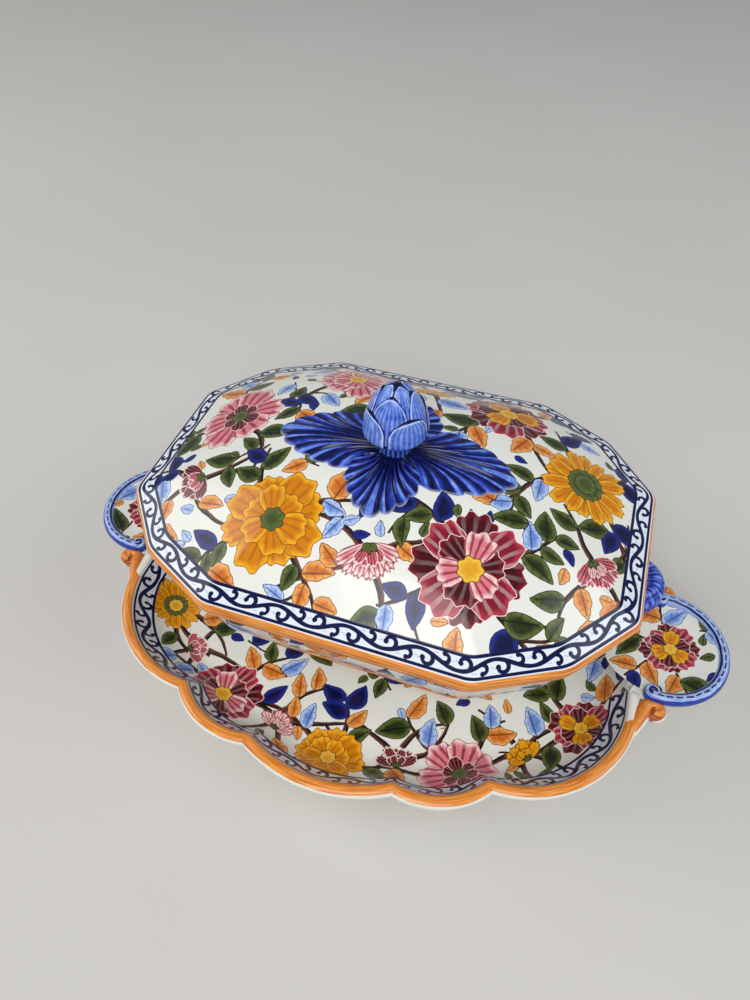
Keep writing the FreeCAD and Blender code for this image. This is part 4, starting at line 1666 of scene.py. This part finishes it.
    def bud(self) -> None:
        """Closed bud with rows of overlapping scales."""
        turn = circle(96)
        share = np.linspace(0.0, 1.0, 40)[:, None]
        points = turned(self.egg(share), self.COLLAR_Z + self.BUD_HEIGHT * share, turn)
        core = Surface(points, values=brushed(np.array(0.08), 40 * turn), caps=(True, True))
        core.build("bud_core", self.material, Body.LID, Slot.COBALT, "finial_bud")
        for row, form in enumerate(self.BUD_ROWS):
            for index in range(self.BUD_SCALES):
                angle = (index + row / 2) * TAU / self.BUD_SCALES + self.BUD_TURN
                self.scale("scale_%d_%d" % (row, index), form, angle)

    def scale(self, name: str, form: Scale, angle: float) -> None:
        """One broad scale with a round tip, which lies on the bud.

        Args:
            name, form, angle: Its name, form and heading.
        """
        step = np.linspace(0.0, 1.0, 80)[:, None]
        v = np.linspace(-1.0, 1.0, 65)[None]
        arc = np.clip(2 * step - 1, 0, 0.985) * math.pi / 2
        u = np.where(step < 0.5, 2 * step * form.bend, form.bend + (1 - form.bend) * np.sin(arc))
        half = math.pi / self.BUD_SCALES * np.cos(arc)
        share = form.low + (form.top - form.low) * u
        edge_u = form.bend + (1 - form.bend) * np.sqrt(1 - (np.cos(arc) * v) ** 2)
        to_tip = (edge_u - u) * (form.top - form.low) * self.BUD_HEIGHT
        edge = np.minimum((1 - np.abs(v)) * half * self.egg(share), to_tip)
        lift = (0.6 + form.lift + 0.7 * (1 - v ** 2)) * smooth(0.0, 0.7 * form.line, edge)
        points = turned(self.egg(share) - 0.6 + lift, self.COLLAR_Z + self.BUD_HEIGHT * share, angle + half * v)
        edge = edge / form.line
        # Painted shade: each scale is darker towards its base and lighter towards its tip.
        relief = 0.02 + (0.6 + 0.14 * u) * smooth(0.7, 1.25, edge) + 0.26 * np.exp(-((edge - 1.7) / 0.35) ** 2)
        surface = Surface(points, closed=False, values=brushed(relief, 30.0 * v))
        surface.build(name, self.material, Body.LID, Slot.COBALT)


@dataclass
class Bowl:
    """Twelve-sided bowl with foot and handles."""

    sizes: CoverSizes
    plan: CoverPlan
    handles: HandleSizes
    glazes: Glazes
    PERIODS = 21
    BELLY_ROWS = 78
    BAND = 14.5
    ORANGE = (15.6, 23.0)
    CHART_SHARE = 0.86
    BLOOMS = 12

    def inset(self, z: Union[Array, float]) -> Array:
        """How far the outside stands in from the cover's outline."""
        fall = np.maximum(0.0, (self.sizes.belly_top - z) / (self.sizes.belly_top - self.sizes.belly_base))
        return self.sizes.overhang + self.sizes.belly_taper * fall ** self.sizes.belly_power

    def build(self) -> None:
        """Makes shell, foot and handles."""
        self.shell()
        self.foot()
        cobalt = self.glazes.cobalt("Handle cobalt")
        for side, node in ((1, "handle_right"), (-1, "handle_left")):
            self.handle(side, node, cobalt)

    def shell(self) -> None:
        """Inside and outside in one skin, with flowers round the belly and a scroll band under the rim."""
        z, plan = self.sizes, self.plan
        rings = Rings()
        base = z.belly_base + 0.3
        for height in base + (z.belly_top - base) * np.linspace(0, 1, self.BELLY_ROWS):
            rings.add(plan.ring(float(self.inset(height))), height, 15.0 - (z.belly_top - height) * 1.02)
        rim = ((0.1, 5.0), (0.2, 1.6), (0.35, 0.2), (0.5, -0.3), (0.75, -0.3), (0.92, 0.3), (1.0, 1.4))
        for share, inset in rim:
            rings.add(plan.ring(inset), z.belly_top + (z.seat_z - z.belly_top) * share, 15.4 + 8.0 * share)
        inner = z.overhang + z.bowl_wall
        floor = z.belly_base + z.bowl_floor
        last = float(self.inset(floor)) + z.bowl_wall
        inside = [(inner - 1.4, z.seat_z), (inner - 0.3, z.seat_z - 0.4), (inner, z.seat_z - 1.5)]
        for height in np.linspace(z.belly_top, floor + 3.0, 22):
            inside.append((float(self.inset(height)) + z.bowl_wall, height))
        inside += [(last + 1.5, floor + 1.0), (last + 4.0, floor), (last + 20.0, floor), (last + 40.0, floor)]
        for inset, height in inside:
            rings.add(plan.ring(inset), height, PLAIN)
        points = rings.points()
        belly = points[:self.BELLY_ROWS]
        chart = np.full(points.shape[:2] + (2,), FAR)
        chart[:self.BELLY_ROWS, :, 0] = plan.along[None] * self.CHART_SHARE
        step = np.linalg.norm(np.diff(belly, axis=0), axis=2).mean(1)
        chart[:self.BELLY_ROWS, :, 1] = np.concatenate([[0.0], np.cumsum(step)])[:, None]
        canvas = Canvas(chart)
        self.flowers(canvas, plan.perimeter * self.CHART_SHARE, float(step.sum()))
        surface = Surface(points, canvas=canvas, border=rings.border(self.PERIODS), caps=(True, True))
        paint = self.glazes.painted("Bowl paint", self.BAND, *self.ORANGE)
        surface.build("bowl_skin", paint, Body.BOWL, Slot.PAINTED, "bowl_shell")

    def flowers(self, canvas: Canvas, around: float, up: float) -> None:
        """Blooms along the belly, and foliage between them.

        Args:
            canvas: The belly.
            around, up: Its size on the chart.
        """
        florist = Florist(canvas, 23, lambda x, y: 3 < x < around - 3 and 2 < y < up - 4)
        paints = ((Paint.CRIMSON, Paint.OCHRE), (Paint.PINK, Paint.CRIMSON),
                  (Paint.OCHRE, Paint.OCHRE), (Paint.CRIMSON, Paint.PINK))
        for index in range(self.BLOOMS):
            place = (around * (index + 0.5) / self.BLOOMS, up * (0.42 + 0.12 * (-1) ** index))
            if index % 3 == 2:
                florist.poppy(place, 22, Paint.PINK, Paint.CRIMSON, 0.2 * index)
            else:
                florist.rosette(place, 24, *paints[index % 4], Paint.HEART, 0.3 * index)
        florist.branch(4, 0.6, (18, 34), 1.8)
        florist.fill((0, 0), (around, up), 700, 500)

    def foot(self) -> None:
        """Flared foot with an orange edge."""
        z = self.sizes
        top = float(self.inset(z.belly_base))
        rise = z.belly_base - z.foot_base
        section = ((0.98, -1.0, -30.0), (0.8, 0.5, -28.0), (0.6, 1.0, -26.0), (0.45, 0.0, -24.0), (0.34, -3.0, -22.0),
                   (0.24, -5.6, -20.0), (0.16, -6.0, 14.4), (0.06, -6.0, 16.5), (0.0, -5.4, 18.0), (0.0, 1.4, PLAIN),
                   (0.06, 2.0, PLAIN), (0.3, 2.4, PLAIN), (0.45, 8.0, PLAIN), (0.9, 8.0, PLAIN))
        rings = Rings()
        for share, inset, depth in section:
            rings.add(self.plan.ring(top + inset), z.foot_base + rise * share, depth)
        points = rings.points()
        canvas = Canvas(np.full(points.shape[:2] + (2,), FAR))
        surface = Surface(points, canvas=canvas, border=rings.border(self.PERIODS), flip=True)
        paint = self.glazes.painted("Foot paint", 13.0, 13.6, 22.0)
        surface.build("bowl_foot_skin", paint, Body.BOWL, Slot.PAINTED, "bowl_foot")

    def handle(self, side: int, node: str, cobalt: Material) -> None:
        """Level loop with ribs along its length.

        Args:
            side: 1 for the right handle, -1 for the left one.
            node, cobalt: Its CAD node and its glaze.
        """
        h = self.handles
        wall = self.sizes.length / 2 - self.sizes.overhang
        z = self.sizes.belly_top - h.drop - h.tall / 2
        bend = wall + h.reach - h.swell - h.thick / 2 - h.radius
        turn = circle(84)
        rib = np.abs(np.sin(turn * h.ribs))
        section = 1 - 0.07 * (1 - rib ** 0.7)
        straight = np.linspace(wall - h.root, bend, 5)[:-1]
        bow = np.linspace(-90.0, 90.0, 61)
        x = np.concatenate([straight, np.full(len(bow), bend), straight[::-1]])[:, None]
        angle = np.radians(np.pad(bow, len(straight), mode="edge"))[:, None]
        half = (h.thick + h.swell * np.cos(angle)) / 2
        out = h.radius - h.thick / 2 + half + half * section * np.cos(turn)
        height = z + h.tall / 2 * section * np.sin(turn)
        points = np.stack(np.broadcast_arrays((x + out * np.cos(angle)) * side, out * np.sin(angle), height), -1)
        station = np.arange(len(x))[:, None]
        relief = 0.42 + 0.2 * rib ** 0.8 + 0.16 * np.sin(1.9 * station)
        surface = Surface(points, values=brushed(relief, turn * 3 + 1.1 * station), caps=(True, True), flip=side > 0)
        surface.build(node + "_skin", cobalt, Body.BOWL, Slot.COBALT, node)


@dataclass
class Stand:
    """Scalloped dish with ears, volutes and foot ring."""

    sizes: StandSizes
    plan: StandPlan
    glazes: Glazes
    face: Material = field(init=False)
    rim: Material = field(init=False)
    orange: Material = field(init=False)
    PERIODS = 27
    WALL_ROWS = 44
    CROWN = 2.6
    SLOPE = 2.2
    LINE = 1.6
    ORANGE_END = 12.4
    NO_BAND = -50.0
    UNDERSIDE = 60.0
    PAINTED_DEPTH = 50.0
    GROUND = (232, 172)
    ENDS = ((1, "right"), (-1, "left"))

    def build(self) -> None:
        """Makes dish, foot ring, ears and volutes."""
        self.dish()
        self.foot_ring()
        self.face = self.glazes.painted("Ear paint", 400.0, 500.0, 600.0)
        self.rim = self.glazes.beaded()
        self.orange = self.glazes.ringed()
        for side, name in self.ENDS:
            self.ear(side, name)
            self.ear_rim(side, name)
        self.volutes()

    def ear_level(self, x: Array) -> Array:
        """Height of the right ear's inner face."""
        s = self.sizes
        return s.ear_floor + (x - s.length / 2 + 2 * s.ear_radius) * math.tan(math.radians(s.ear_tilt))

    def dish(self) -> None:
        """Floor, wall, rim and underside in one skin, with flowers and a scroll band."""
        s, plan = self.sizes, self.plan
        rings = Rings()
        floor = plan.ring(s.well_inset + 4.0, s.well_lobes)
        scales = np.concatenate([np.linspace(0.03, 0.6, 16), np.linspace(0.61, 1.0, 40)])
        for scale in scales:
            rings.add(floor * scale, s.floor_z, -200.0)
        wall_top = s.height - self.CROWN
        shares = 1 - (1 - np.linspace(0.0, 1.0, self.WALL_ROWS)) ** 1.25
        insets = s.well_inset + (s.rim_width - s.well_inset) * shares
        heights = s.floor_z + 0.1 + (wall_top - s.floor_z) * shares ** s.wall_power
        arc = np.concatenate([[0.0], np.cumsum(np.hypot(np.diff(insets), np.diff(heights)))])
        for share, inset, height, depth in zip(shares, insets, heights, s.band + self.LINE + arc - arc[-1]):
            rings.add(plan.ring(inset, s.well_lobes + (1 - s.well_lobes) * share), height, depth)
        for share in np.linspace(0.08, 1.0, 14):
            turn = math.pi * share
            inset = s.rim_width / 2 * (1 + math.cos(turn)) - 0.4 * math.sin(turn)
            height = wall_top + self.CROWN * math.sin(turn) - self.SLOPE * share
            rings.add(plan.ring(inset), height, s.band + 2.0 + 14.0 * share)
        low = s.height - s.rim_height
        for share in np.linspace(0.2, 1.0, 5):
            height = wall_top - self.SLOPE + (low - wall_top + self.SLOPE) * share
            rings.add(plan.ring(0.6 * share), height, s.band + 16.2 + 4.0 * share)
        base = s.floor_z - s.floor_thick
        for share in np.linspace(0.08, 1.0, 12):
            ring = plan.ring(0.6 + s.well_inset * share, 1.0 + (s.well_lobes - 1.0) * share)
            rings.add(ring, low + (base + 0.1 - low) * share ** 0.94, self.UNDERSIDE)
        under = plan.ring(s.well_inset + 1.0, s.well_lobes)
        for scale in (0.97, 0.6, 0.05):
            rings.add(under * scale, base, self.UNDERSIDE)
        points = rings.points()
        self.sink_ends(points)
        canvas = Canvas(meridian_chart(points, len(scales) + self.WALL_ROWS))
        self.flowers(canvas)
        border = rings.border(self.PERIODS)
        border[..., 1] = self.end_depths(border[..., 1], np.concatenate([points, points[:, :1]], 1))
        surface = Surface(points, canvas=canvas, border=border, caps=(True, True), flip=True)
        paint = self.glazes.painted("Dish paint", s.band, s.band + self.LINE, s.band + self.ORANGE_END)
        surface.build("dish_skin", paint, Body.STAND, Slot.PAINTED, "stand_dish")

    def end_depths(self, depths: Array, points: Array) -> Array:
        """Leaves the rim white between volute and ear, and ends the scroll band beside the ear.

        Args:
            depths: Depth on the border map by rows and columns.
            points: Places by rows and columns.
        Returns:
            The new depths.
        """
        x, y = np.abs(points[..., 0]), np.abs(points[..., 1])
        end = x > 120
        limit = 57.0 + np.clip(0.8 * (180.0 - x), 0.0, 8.0)
        push = 30.0 * smooth(-1.0, 3.0, limit - y) * end
        on_rim = (depths > self.sizes.band + self.LINE) & (depths < self.PAINTED_DEPTH)
        depths = np.where(on_rim, depths + push, depths)
        return np.where(end & (y < 37.0) & (depths < self.PAINTED_DEPTH), self.NO_BAND, depths)

    def sink_ends(self, points: Array) -> None:
        """Lowers rim and wall top inside the ears, so that the ear's face takes over.

        Args:
            points: Places by rows and columns, which are changed.
        """
        x, z = np.abs(points[..., 0]), points[..., 2]
        inside = smooth(40.0, 36.0, np.abs(points[..., 1])) * (x > 140)
        level = self.ear_level(x) - 0.9
        points[..., 2] = np.where(inside > 0, np.minimum(z, z * (1 - inside) + level * inside), z)

    def flowers(self, canvas: Canvas) -> None:
        """Blooms round the well and foliage between them.

        Args:
            canvas: The dish.
        """
        wide, deep = self.GROUND
        florist = Florist(canvas, 37, lambda x, y: (x / wide) ** 2 + (y / deep) ** 2 < 1.0)
        blooms = (
            (0, -134, 24, Paint.OCHRE, Paint.OCHRE), (-84, -116, 27, Paint.CRIMSON, Paint.PINK),
            (84, -118, 26, Paint.PINK, Paint.CRIMSON), (-150, -62, 22, Paint.OCHRE, Paint.OCHRE),
            (152, -62, 22, Paint.CRIMSON, Paint.OCHRE), (0, 134, 26, Paint.CRIMSON, Paint.PINK),
            (-86, 116, 25, Paint.OCHRE, Paint.OCHRE), (86, 116, 24, Paint.PINK, Paint.ROSE),
            (-150, 62, 22, Paint.CRIMSON, Paint.PINK), (150, 62, 22, Paint.OCHRE, Paint.OCHRE),
            (0, 0, 30, Paint.CRIMSON, Paint.OCHRE))
        for index, (x, y, radius, outer, inner) in enumerate(blooms):
            if index % 4 == 2:
                florist.poppy((x, y), radius, outer, inner, 0.3 * index)
            elif index % 4 == 3:
                florist.daisy((x, y), radius, outer, Paint.HEART, 0.3 * index)
            else:
                florist.rosette((x, y), radius, outer, inner, Paint.HEART, 0.37 * index)
        small = ((-42, -128, Paint.PINK), (44, -126, Paint.CRIMSON), (-124, -92, Paint.ROSE), (124, -94, Paint.OCHRE))
        for x, y, paint in small:
            florist.carnation((x, y), 15, paint, paint, math.atan2(-y, -x))
        florist.branch(5, 0.0, (28, 48), 4.2)
        florist.fill((-wide, -deep), (wide, deep), 1400, 900)

    def foot_ring(self) -> None:
        """Oval foot ring, bare of glaze where it stands."""
        long, short = self.sizes.foot
        turn = circle(240)
        inset, height, bare = columns_of((
            (0.2, 6.0, 0.0), (0.0, 3.0, 0.0), (0.0, 1.6, 0.0), (0.5, 0.5, 0.6), (1.6, 0.0, 1.0), (4.5, 0.0, 1.0),
            (7.4, 0.0, 1.0), (8.5, 0.5, 0.6), (9.0, 1.6, 0.0), (9.0, 3.0, 0.0), (8.8, 6.0, 0.0)))
        x, y = (long - inset) * np.cos(turn), (short - inset) * np.sin(turn)
        points = np.stack(np.broadcast_arrays(x, y, height), -1)
        surface = Surface(points, values={"bare": bare}, flip=True)
        surface.build("stand_foot_skin", self.glazes.footed(), Body.STAND, Slot.WHITE, "stand_foot")

    def ear(self, side: int, name: str) -> None:
        """Scooped face of an ear, painted like the dish.

        Args:
            side, name: Which ear it is.
        """
        s = self.sizes
        inner = s.ear_radius - s.ear_rim
        turn = circle(240)
        radius = np.linspace(0.5, inner + 1.5, 60)[:, None]
        x, y = s.ear_x + radius * np.cos(turn), radius * np.sin(turn)
        z = self.ear_level(x) + 1.8 * smooth(0.55, 1.0, radius / inner) ** 1.5
        z = z - 0.12 * np.maximum(s.ear_edge_x - x, 0) ** 1.3
        canvas = Canvas(np.stack([x, y], -1))
        florist = Florist(canvas, 5 + side, lambda a, b: math.hypot(a - s.ear_x, b) < 40)
        bloom = (s.ear_x + 6, 1)
        florist.rosette(bloom, 20, Paint.CRIMSON, Paint.OCHRE, Paint.HEART, 0.25)
        for angle in (1.9, -1.3, 2.9, -2.4):
            florist.twig(np.array(bloom) + 16 * toward(angle), angle, 24, 2.0)
        florist.fill((s.ear_x - 40, -40), (s.ear_x + 40, 40), 120, 120)
        border = np.full((len(radius), turn.size + 1, 2), -80.0)
        surface = Surface(np.stack([x * side, y * side, z], -1), canvas=canvas, border=border, caps=(True, False))
        surface.build("ear_face_" + name, self.face, Body.STAND, Slot.PAINTED, "ear_" + name)

    def ear_rim(self, side: int, name: str) -> None:
        """Raised rim of an ear, its underside, the lower cheeks between rim and dish, and the curls.

        Args:
            side, name: Which ear it is.
        """
        s = self.sizes
        inner, outer = s.ear_radius - s.ear_rim, s.ear_radius
        middle = s.ear_radius - s.ear_rim / 2
        stop = math.acos(-s.rim_end / middle)
        last = math.acos((s.ear_edge_x - s.ear_x) / s.ear_radius)
        top, flat = s.height + s.ear_rise, s.height - s.rim_drop
        low = s.ear_floor - s.ear_thick
        under = [(outer - 0.6, top - 6.5), (outer - 5.0, low + 8.0), (outer - 10.0, low + 2.5),
                 (outer - s.ear_under, low), (10.0, low - 0.5)]
        raised = [(inner - 0.6, s.height - 4.5), (inner + 0.2, top - 2.2), (inner + 1.5, top - 0.6),
                  (inner + 3.2, top), (outer - 2.6, top - 0.3), (outer - 0.8, top - 1.6), (outer, top - 4.0)]
        cheek = [(inner - 0.6, s.height - 4.5), (inner, flat - 0.6), (inner + 0.8, flat), (outer - 1.2, flat),
                 (outer - 0.4, flat - 0.5)]
        self.sweep("ear_rim_" + name, raised + under, np.linspace(-stop, stop, 200), side, 0.0)
        for end, letter in ((-1, "f"), (1, "b")):
            turns = np.linspace(stop - 0.02, last, 24) if end > 0 else np.linspace(-last, 0.02 - stop, 24)
            self.sweep("ear_cheek_%s_%s" % (name, letter), cheek + under, turns, side, 30.0)
            place = (s.ear_x - s.rim_end, end * (middle * math.sin(stop) - s.curl_inset))
            self.curl("curl_%s_%s" % (name, letter), place, side)

    def sweep(self, name: str, profile: Sequence[Pair], turns: Array, side: int, start: float) -> None:
        """Sweeps a section about an ear's middle.

        Args:
            name: Name of the piece.
            profile: Radius and height along the section.
            turns: Headings of the section.
            side: 1 for the right ear, -1 for the left one.
            start: First millimetre of the border map across the section.
        """
        s = self.sizes
        fine, knots = np.linspace(0, len(profile) - 1, 90), np.arange(len(profile))
        radius, height = (np.interp(fine, knots, column[:, 0])[:, None] for column in columns_of(profile))
        points = turned(radius, height, turns[None], (s.ear_x, 0.0)) * (side, side, 1)
        steps = np.hypot(np.diff(radius[:, 0]), np.diff(height[:, 0]))
        across = start + np.concatenate([[0.0], np.cumsum(steps)])[:, None]
        border = np.stack(np.broadcast_arrays(turns[None] * s.ear_radius, across), -1)
        Surface(points, closed=False, border=border).build(name, self.rim, Body.STAND, Slot.COBALT)

    def curl(self, name: str, middle: Place, side: int) -> None:
        """Round end of an ear's rim, with a sunk ring round its eye.

        Args:
            name: Name of the piece.
            middle: Its place on the right ear.
            side: 1 for the right ear, -1 for the left one.
        """
        top = self.sizes.height + self.sizes.ear_rise
        full = self.sizes.curl_radius
        turn = circle(64)
        radius, height, across = columns_of((
            (0.1, top + 0.2, 10.0), (1.0, top, 10.2), (1.7, top - 0.7, 8.8), (2.3, top - 0.5, 9.2),
            (3.2, top + 0.1, 10.4), (4.2, top - 0.4, 10.6), (full - 0.1, top - 1.6, 15.4), (full, top - 4.0, 17.5),
            (full, self.sizes.ear_floor - 6.0, 19.0)))
        points = turned(radius, height, turn, middle) * (side, side, 1)
        around = np.linspace(0, TAU, turn.size + 1)[None] * full
        border = np.stack(np.broadcast_arrays(around, across), -1)
        surface = Surface(points, border=border, caps=(True, False), flip=True)
        surface.build(name, self.rim, Body.STAND, Slot.COBALT)

    def volutes(self) -> None:
        """Scrolls in which the orange rim ends: it passes the eye on the ear's side and curls outwards."""
        s = self.sizes
        end = self.plan.corners[0]
        eye = np.array([end[0] + s.volute_out[0] - 0.5, end[1] - s.volute_out[1] - 0.1])
        turn = np.linspace(math.pi, 2.55 * math.pi, 60)[:, None]
        reach = np.interp(turn, np.array([1.0, 1.5, 2.0, 2.55]) * math.pi, [6.6, 3.0, 3.6, 2.2])
        spiral = eye + reach * np.concatenate([np.cos(turn), np.sin(turn)], 1)
        first, mid = end + (-7.0, 11.5), end + (-0.8, -1.0)
        t = np.linspace(0, 1, 24, endpoint=False)[:, None]
        path = np.concatenate([(1 - t) ** 2 * first + 2 * t * (1 - t) * mid + t ** 2 * spiral[0], spiral])
        for side_x, letter_x in ((1, "r"), (-1, "l")):
            for side_y, letter_y in ((1, "b"), (-1, "f")):
                name, sides = "volute_" + letter_x + letter_y, (side_x, side_y)
                self.tube(name + "_crook", path * sides)
                self.tube(name + "_bed", path * sides, 1.3, 2.8)
                self.knob(name, eye * sides)

    def knob(self, name: str, middle: Array) -> None:
        """Round seat of a volute with its eye.

        Args:
            name, middle: Name and place of the piece.
        """
        s = self.sizes
        top, full = s.height - 1.5, s.volute_radius - 0.9
        turn = circle(72)
        radius, height, tone = columns_of((
            (0.1, top + 2.2, 0.9), (0.9, top + 1.9, 0.7), (1.6, top + 0.4, 0.1), (2.2, top, 0.0), (4.8, top, 0.1),
            (full - 0.6, top - 0.4, 0.3), (full, top - 1.4, 0.4), (full - 0.6, s.height - s.rim_height, 0.2)))
        points = turned(radius, height, turn, middle)
        surface = Surface(points, values=brushed(tone, 3 * turn), caps=(True, True), flip=True)
        surface.build(name, self.orange, Body.STAND, Slot.PAINTED)

    def tube(self, name: str, path: Array, spread: float = 0.0, drop: float = 0.0) -> None:
        """Round-topped bead along a level path, which thins towards its end.

        Args:
            name: Name of the piece.
            path: Places along its middle.
            spread, drop: How much wider and lower it is than the orange bead. A lowered one is white.
        """
        run = np.gradient(path, axis=0)
        normal = np.stack([-run[:, 1], run[:, 0]], 1) / np.linalg.norm(run, axis=1)[:, None]
        turn = circle(24)
        share = np.linspace(0, 1, len(path))
        half = np.interp(share, [0, 0.25, 0.55, 1], [2.4, 4.6, 3.6, 2.4]) + spread
        sunk = self.sizes.height - 3.6 - drop - 2.6 * smooth(0.26, 0.0, share)
        ring = path[:, None] + normal[:, None] * (half[:, None] * np.cos(turn))[..., None]
        height = sunk[:, None] + 4.2 * np.sin(turn)
        # Painted light and shade: the bead is lighter on its top and darker down its sides.
        values = brushed(0.25 + 0.5 * smooth(-0.4, 0.8, np.sin(turn)), 12 * share[:, None], float(drop > 0))
        surface = Surface(np.concatenate([ring, height[..., None]], -1), values=values, caps=(True, True))
        surface.build(name, self.orange, Body.STAND, Slot.PAINTED)


@dataclass(frozen=True)
class View:
    """Camera of the photo, from a fit to the object's outlines.

    Args:
        place: Place in millimetres.
        azimuth, elevation: Heading towards the object in radians.
        roll, pan, tilt: Small turns about the camera's own axes in radians.
        lens: Focal length in millimetres.
    """

    place: Tuple[float, float, float] = (88.9, -298.7, 474.2)
    azimuth: float = 0.2892
    elevation: float = 0.8351
    roll: float = -0.0277
    pan: float = -0.0261
    tilt: float = 0.0121
    lens: float = 26.08

    def build(self) -> None:
        """Adds the camera to the scene."""
        flat = math.cos(self.elevation)
        back = Vector((math.sin(self.azimuth) * flat, -math.cos(self.azimuth) * flat, math.sin(self.elevation)))
        right = (-back).cross(Vector((0, 0, 1))).normalized()
        base = Matrix((right, right.cross(-back), back))
        spin = Matrix.Rotation
        turn = spin(self.roll, 3, "Z") @ spin(self.pan, 3, "Y") @ spin(self.tilt, 3, "X")
        data = bpy.data.cameras.new("photo_camera")
        data.lens = self.lens
        data.sensor_width = 36.0
        data.clip_start = 0.01
        camera = bpy.data.objects.new("photo_camera", data)
        camera.matrix_world = Matrix.Translation(Vector(self.place) * MM) @ (turn @ base).transposed().to_4x4()
        bpy.context.scene.collection.objects.link(camera)
        bpy.context.scene.camera = camera


@dataclass(frozen=True)
class Lamp:
    """A square soft light that faces the object. Its place and size are in metres.

    Args:
        name: Its name.
        place: Where it hangs.
        size: Length of its sides.
        power: Its power in watts.
        colour: Its colour.
    """

    name: str
    place: Tuple[float, float, float]
    size: float
    power: float
    colour: Colour

    def build(self) -> None:
        """Adds the lamp to the scene."""
        data = bpy.data.lights.new(self.name, "AREA")
        data.size = self.size
        data.energy = self.power
        data.color = self.colour
        lamp = bpy.data.objects.new(self.name, data)
        lamp.location = self.place
        lamp.rotation_euler = (Vector((0, 0, 0.1)) - Vector(self.place)).to_track_quat("-Z", "Y").to_euler()
        bpy.context.scene.collection.objects.link(lamp)


class Studio:
    """Pale floor and soft lights."""

    FLOOR = 6.0
    SKY = (0.86, 0.92, 1.0, 1.0)
    SKY_STRENGTH = 0.3
    LAMPS = (
        Lamp("window", (-2.4, -0.3, 1.75), 1.9, 28.0, (1.0, 0.98, 0.95)),
        Lamp("fill", (2.3, 0.15, 1.7), 1.7, 20.0, (0.95, 0.97, 1.0)),
        Lamp("front", (0.3, -1.95, 2.45), 2.0, 64.0, (1.0, 1.0, 1.0)),
    )

    def build(self) -> None:
        """Adds floor, lights and surroundings."""
        scene = bpy.context.scene
        scene.view_settings.view_transform = "Standard"
        world = bpy.data.worlds.new("studio")
        world.use_nodes = True
        sky = world.node_tree.nodes["Background"].inputs
        sky[0].default_value = self.SKY
        sky[1].default_value = self.SKY_STRENGTH
        scene.world = world
        self.floor()
        for lamp in self.LAMPS:
            lamp.build()

    def floor(self) -> None:
        """A level floor of matt pale paint."""
        half = self.FLOOR
        mesh = bpy.data.meshes.new("floor")
        corners = [(-half, -half, 0), (half, -half, 0), (half, half, 0), (-half, half, 0)]
        mesh.from_pydata(corners, [], [(0, 1, 2, 3)])
        material = bpy.data.materials.new("Pale floor")
        material.use_nodes = True
        graph = Graph(material.node_tree)
        shader = material.node_tree.nodes["Principled BSDF"].inputs
        shader["Roughness"].default_value = 0.75
        cloud = graph.noise(graph.place(), 3.0, 3.0)
        graph.put(shader["Base Color"], graph.mix(cloud, linear(196, 192, 186), linear(206, 203, 198)))
        mesh.materials.append(material)
        floor = bpy.data.objects.new("floor", mesh)
        bpy.context.scene.collection.objects.link(floor)


def main() -> None:
    """Builds the whole scene."""
    logging.basicConfig(level=logging.INFO)
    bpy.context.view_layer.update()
    glazes = Glazes()
    cover, stand = CoverSizes(), StandSizes()
    plan = CoverPlan(cover)
    Lid(cover, plan, glazes).build()
    Bowl(cover, plan, HandleSizes(), glazes).build()
    Stand(stand, StandPlan(stand), glazes).build()
    View().build()
    Studio().build()


if __name__ == "__main__":
    main()
